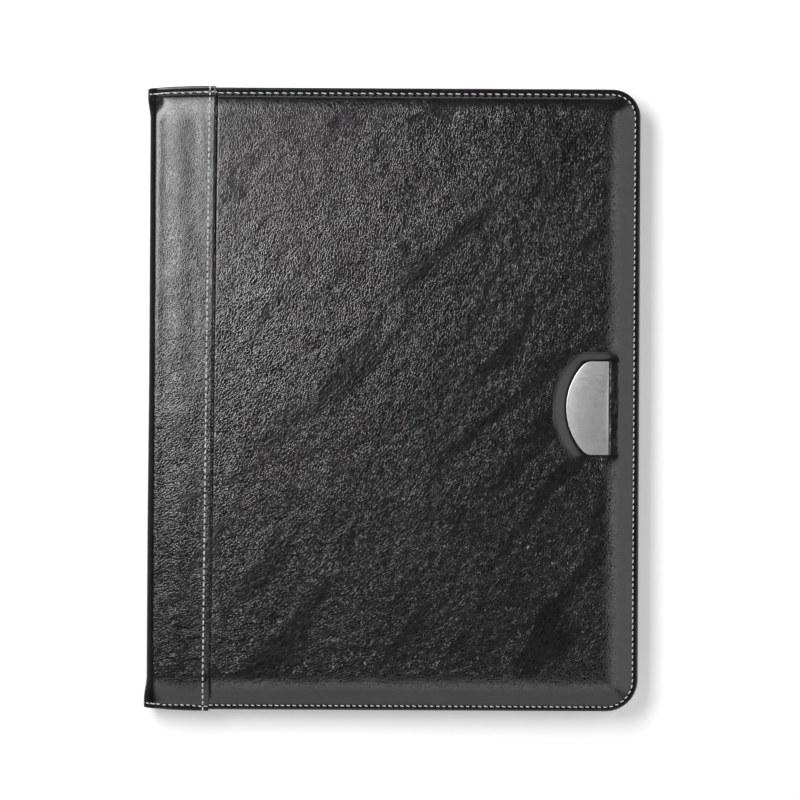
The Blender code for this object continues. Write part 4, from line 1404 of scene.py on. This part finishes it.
def make_pad_holder():
    """The panel that the pad's card slides behind, sewn down on three sides."""
    low, mouth = PAD_FOOT - HOLDER_MARGIN, PAD_FOOT - HOLDER_MARGIN + HOLDER_HEIGHT
    left, right = PAD_LEFT - HOLDER_MARGIN, PAD_RIGHT + HOLDER_MARGIN
    xs = edged_lines(left, right, 7.0, 0.7, 3.5)
    ys = lines((low, low + 7, 0.7), (low + 7, mouth - 4, 3.5), (mouth - 4, mouth, 0.8))
    x, y = round_grid(xs, ys, (HOLDER_CORNER, HOLDER_CORNER, 0, 0))
    near = nearest(x - left, right - x, y - low)
    lifted = smooth((near - 1.6) / 1.5)
    z = HOLDER_Z + HOLDER_RISE * lifted + 0.06 * waves(x, y, 30.0, 5.1, 1) * smooth((near - 4) / 10)
    z = np.minimum(z + 0.05 * bell((mouth - y - 1.2) / 1.0) * lifted, 8.78)
    area = (right - left) * HOLDER_HEIGHT - 2 * CORNER_LOSS * HOLDER_CORNER**2
    sew(
        "pad_holder_panel", x, y, z, HOLDER_SHEET, (right - left, HOLDER_HEIGHT), area,
        "back_cover", "pad_holder",
    )
    side = [(1.0, mouth - 1), (1.0, low + 6), (2.2, low + 2.2), (6, low + 1.0)]
    seam = both_sides(left, right, side)
    row_along("pad_holder_stitches", seam, HOLDER_SEAM_Z, 1.0, "back_cover", 48)


def make_pad_sheets():
    """The block of ruled sheets: thin leaves stacked with small shifts, the top ones lifting."""
    draw = random.Random(77)
    pitch = PAD_THICK / LEAVES
    xs = edged_lines(PAD_LEFT, PAD_RIGHT, 30.0, 6.0, 20.0)
    ys = lines((PAD_FOOT, PAD_FOOT + 30, 6.0), (PAD_FOOT + 30, PAD_HEAD, 20.0))
    x, y = np.meshgrid(xs, ys, indexing="ij")
    corner = smooth((x - PAD_RIGHT + 30) / 30) * smooth((PAD_FOOT + 30 - y) / 30)
    from_spine = (x - PAD_LEFT) / (PAD_RIGHT - PAD_LEFT)
    from_head = (PAD_HEAD - y) / (PAD_HEAD - PAD_FOOT)
    verts, faces = [], []
    for i in range(LEAVES):
        leaf_x = x + draw.uniform(-0.22, 0.0) * from_spine
        leaf_y = y + draw.uniform(0.0, 0.25) * from_head
        low = PAD_Z + i * pitch + 0.25 * smooth((i - LEAVES + 6) / 6) * corner
        top, bottom = surface(leaf_x, leaf_y, low + pitch * 0.84), surface(leaf_x, leaf_y, low)
        leaf, quads = close(top, bottom, grid_faces(*x.shape))
        verts.append(leaf)
        faces.append(quads + i * len(leaf))
    verts, faces = np.concatenate(verts), np.concatenate(faces)
    piece = make_piece("ruled_sheets", verts, faces, PAPER_LOOK, sharp=30)
    settle(piece, "writing_pad", "pad_sheets")


def make_binding():
    """The cloth tape round the head of the pad."""
    face = PAD_HEAD + 0.3
    outer = face + 0.3
    back = (PAD_HEAD - 18.0, PAD_HEAD - 12.0, PAD_HEAD - 4.0)
    high, low = 12.2, (9.6, 7.02)
    section = [*zip(back, (12.68, 12.70, 12.70)), (outer - 0.5, 12.68), (outer - 0.12, 12.55)]
    section += [(outer, z) for z in (high, *low)]
    inner = [(y, 12.40) for y in (*back, face - 0.5)] + [(face - 0.05, 12.32)]
    inner += [(face, z) for z in (high, *low)]
    loop = section + inner[::-1]
    xs = lines((PAD_LEFT, PAD_RIGHT, 4.0))
    verts = []
    for i, x in enumerate(xs):
        wave = 0.03 * math.sin(i * 1.7) + 0.02 * math.sin(i * 0.6)
        for j, (y, z) in enumerate(loop):
            verts.append((x, y + wave if j in (0, len(loop) - 1) else y, z))
    count = len(loop)
    j = np.arange(len(section) - 1)
    end = np.stack([j, j + 1, count - 2 - j, count - 1 - j], axis=1)
    caps = [end[:, ::-1], end + (len(xs) - 1) * count]
    verts = np.array(verts)
    faces = facing_out(verts, np.concatenate([band_faces(len(xs), count), *caps]))
    piece = make_piece("pad_cloth_tape", verts, faces, TAPE_LOOK, sharp=40)
    settle(piece, "writing_pad", "pad_binding")


make_pad_holder()
make_pad_sheets()
make_binding()

for node, look in (
    ("front_board", BOARD_LOOK),
    ("back_board", BOARD_LOOK),
    ("spine_board", BOARD_LOOK),
    ("plate_adhesive", GLUE_LOOK),
    ("pad_card", CARD_LOOK),
):
    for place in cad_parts[node].material_slots:
        place.link = "OBJECT"
        place.material = look


# The floor, the light and the camera


def make_floor():
    """A pale floor that glows white far away, and keeps the object's shadow."""
    mesh = bpy.data.meshes.new("floor")
    corners = [(-FLOOR, -FLOOR), (FLOOR, -FLOOR), (FLOOR, FLOOR), (-FLOOR, FLOOR)]
    mesh.from_pydata([(x, y, FLOOR_Z) for x, y in corners], [], [(0, 1, 2, 3)])
    look = Look("floor")
    place = look.place(False)
    camera, seen = look.seen()
    pale = look.mix(look.noise(place, 0.02), 0.97, 0.98)
    look.finish(color=look.mix(seen, FLOOR_SHADE, pale), rough=0.9, specular=0.0)
    away = look.vector("LENGTH", place, out="Value")
    level = look.blend(camera, look.ramp(away, *MIRRORED_GLOW), look.ramp(away, *FLOOR_GLOW))
    glow = look.node("Emission", {"Color": 1.0, "Strength": seen * level})
    both = look.node("AddShader", {0: Value(look, look.shader.outputs[0]), 1: glow})
    look.put(look.tree.nodes["Material Output"].inputs["Surface"], both)
    mesh.materials.append(look.material)
    obj = bpy.data.objects.new("floor", mesh)
    bpy.context.scene.collection.objects.link(obj)


def make_world():
    """White from the horizon up to where no camera looks, and a dark studio above it."""
    world = bpy.data.worlds.new("studio")
    bpy.context.scene.world = world
    world.use_nodes = True
    graph = Graph(world.node_tree)
    graph.tree.nodes.remove(graph.tree.nodes["Background"])
    dim = graph.node("Background", {"Color": 1.0, "Strength": DARK})
    up = graph.node("SeparateXYZ", {0: graph.node("TexCoord", {}, "Generated")}, 2)
    level = graph.node("MapRange", {0: up, 1: HORIZON[0], 2: HORIZON[1], 3: 1.0, 4: DARK})
    plain = graph.node("Background", {"Color": 1.0, "Strength": level})
    lit = graph.node("MixShader", {0: graph.seen()[1], 1: dim, 2: plain})
    graph.put(graph.tree.nodes["World Output"].inputs["Surface"], lit)


def make_light(name, place, width, height, watts):
    """A rectangle of light that faces the origin, its height along Y as seen from above."""
    data = bpy.data.lights.new(name, "AREA")
    data.shape = "RECTANGLE"
    data.size = width
    data.size_y = height
    data.energy = watts
    obj = bpy.data.objects.new(name, data)
    bpy.context.scene.collection.objects.link(obj)
    obj.location = place
    away = Vector(place).normalized()
    along = (Vector((0, 1, 0)) - away * away.y).normalized()
    obj.rotation_euler = Matrix((along.cross(away), along, away)).transposed().to_euler()


def make_camera():
    data = bpy.data.cameras.new("camera")
    data.lens = LENS
    data.sensor_width = 36.0
    data.clip_end = 20.0
    obj = bpy.data.objects.new("camera", data)
    bpy.context.scene.collection.objects.link(obj)
    obj.location = CAMERA
    obj.rotation_euler = (0.0, 0.0, math.radians(CAMERA_TURN))
    bpy.context.scene.camera = obj


make_floor()
make_world()
for name, values in LIGHTS.items():
    make_light(name, *values)
make_camera()
bpy.context.scene.view_settings.view_transform = "Standard"
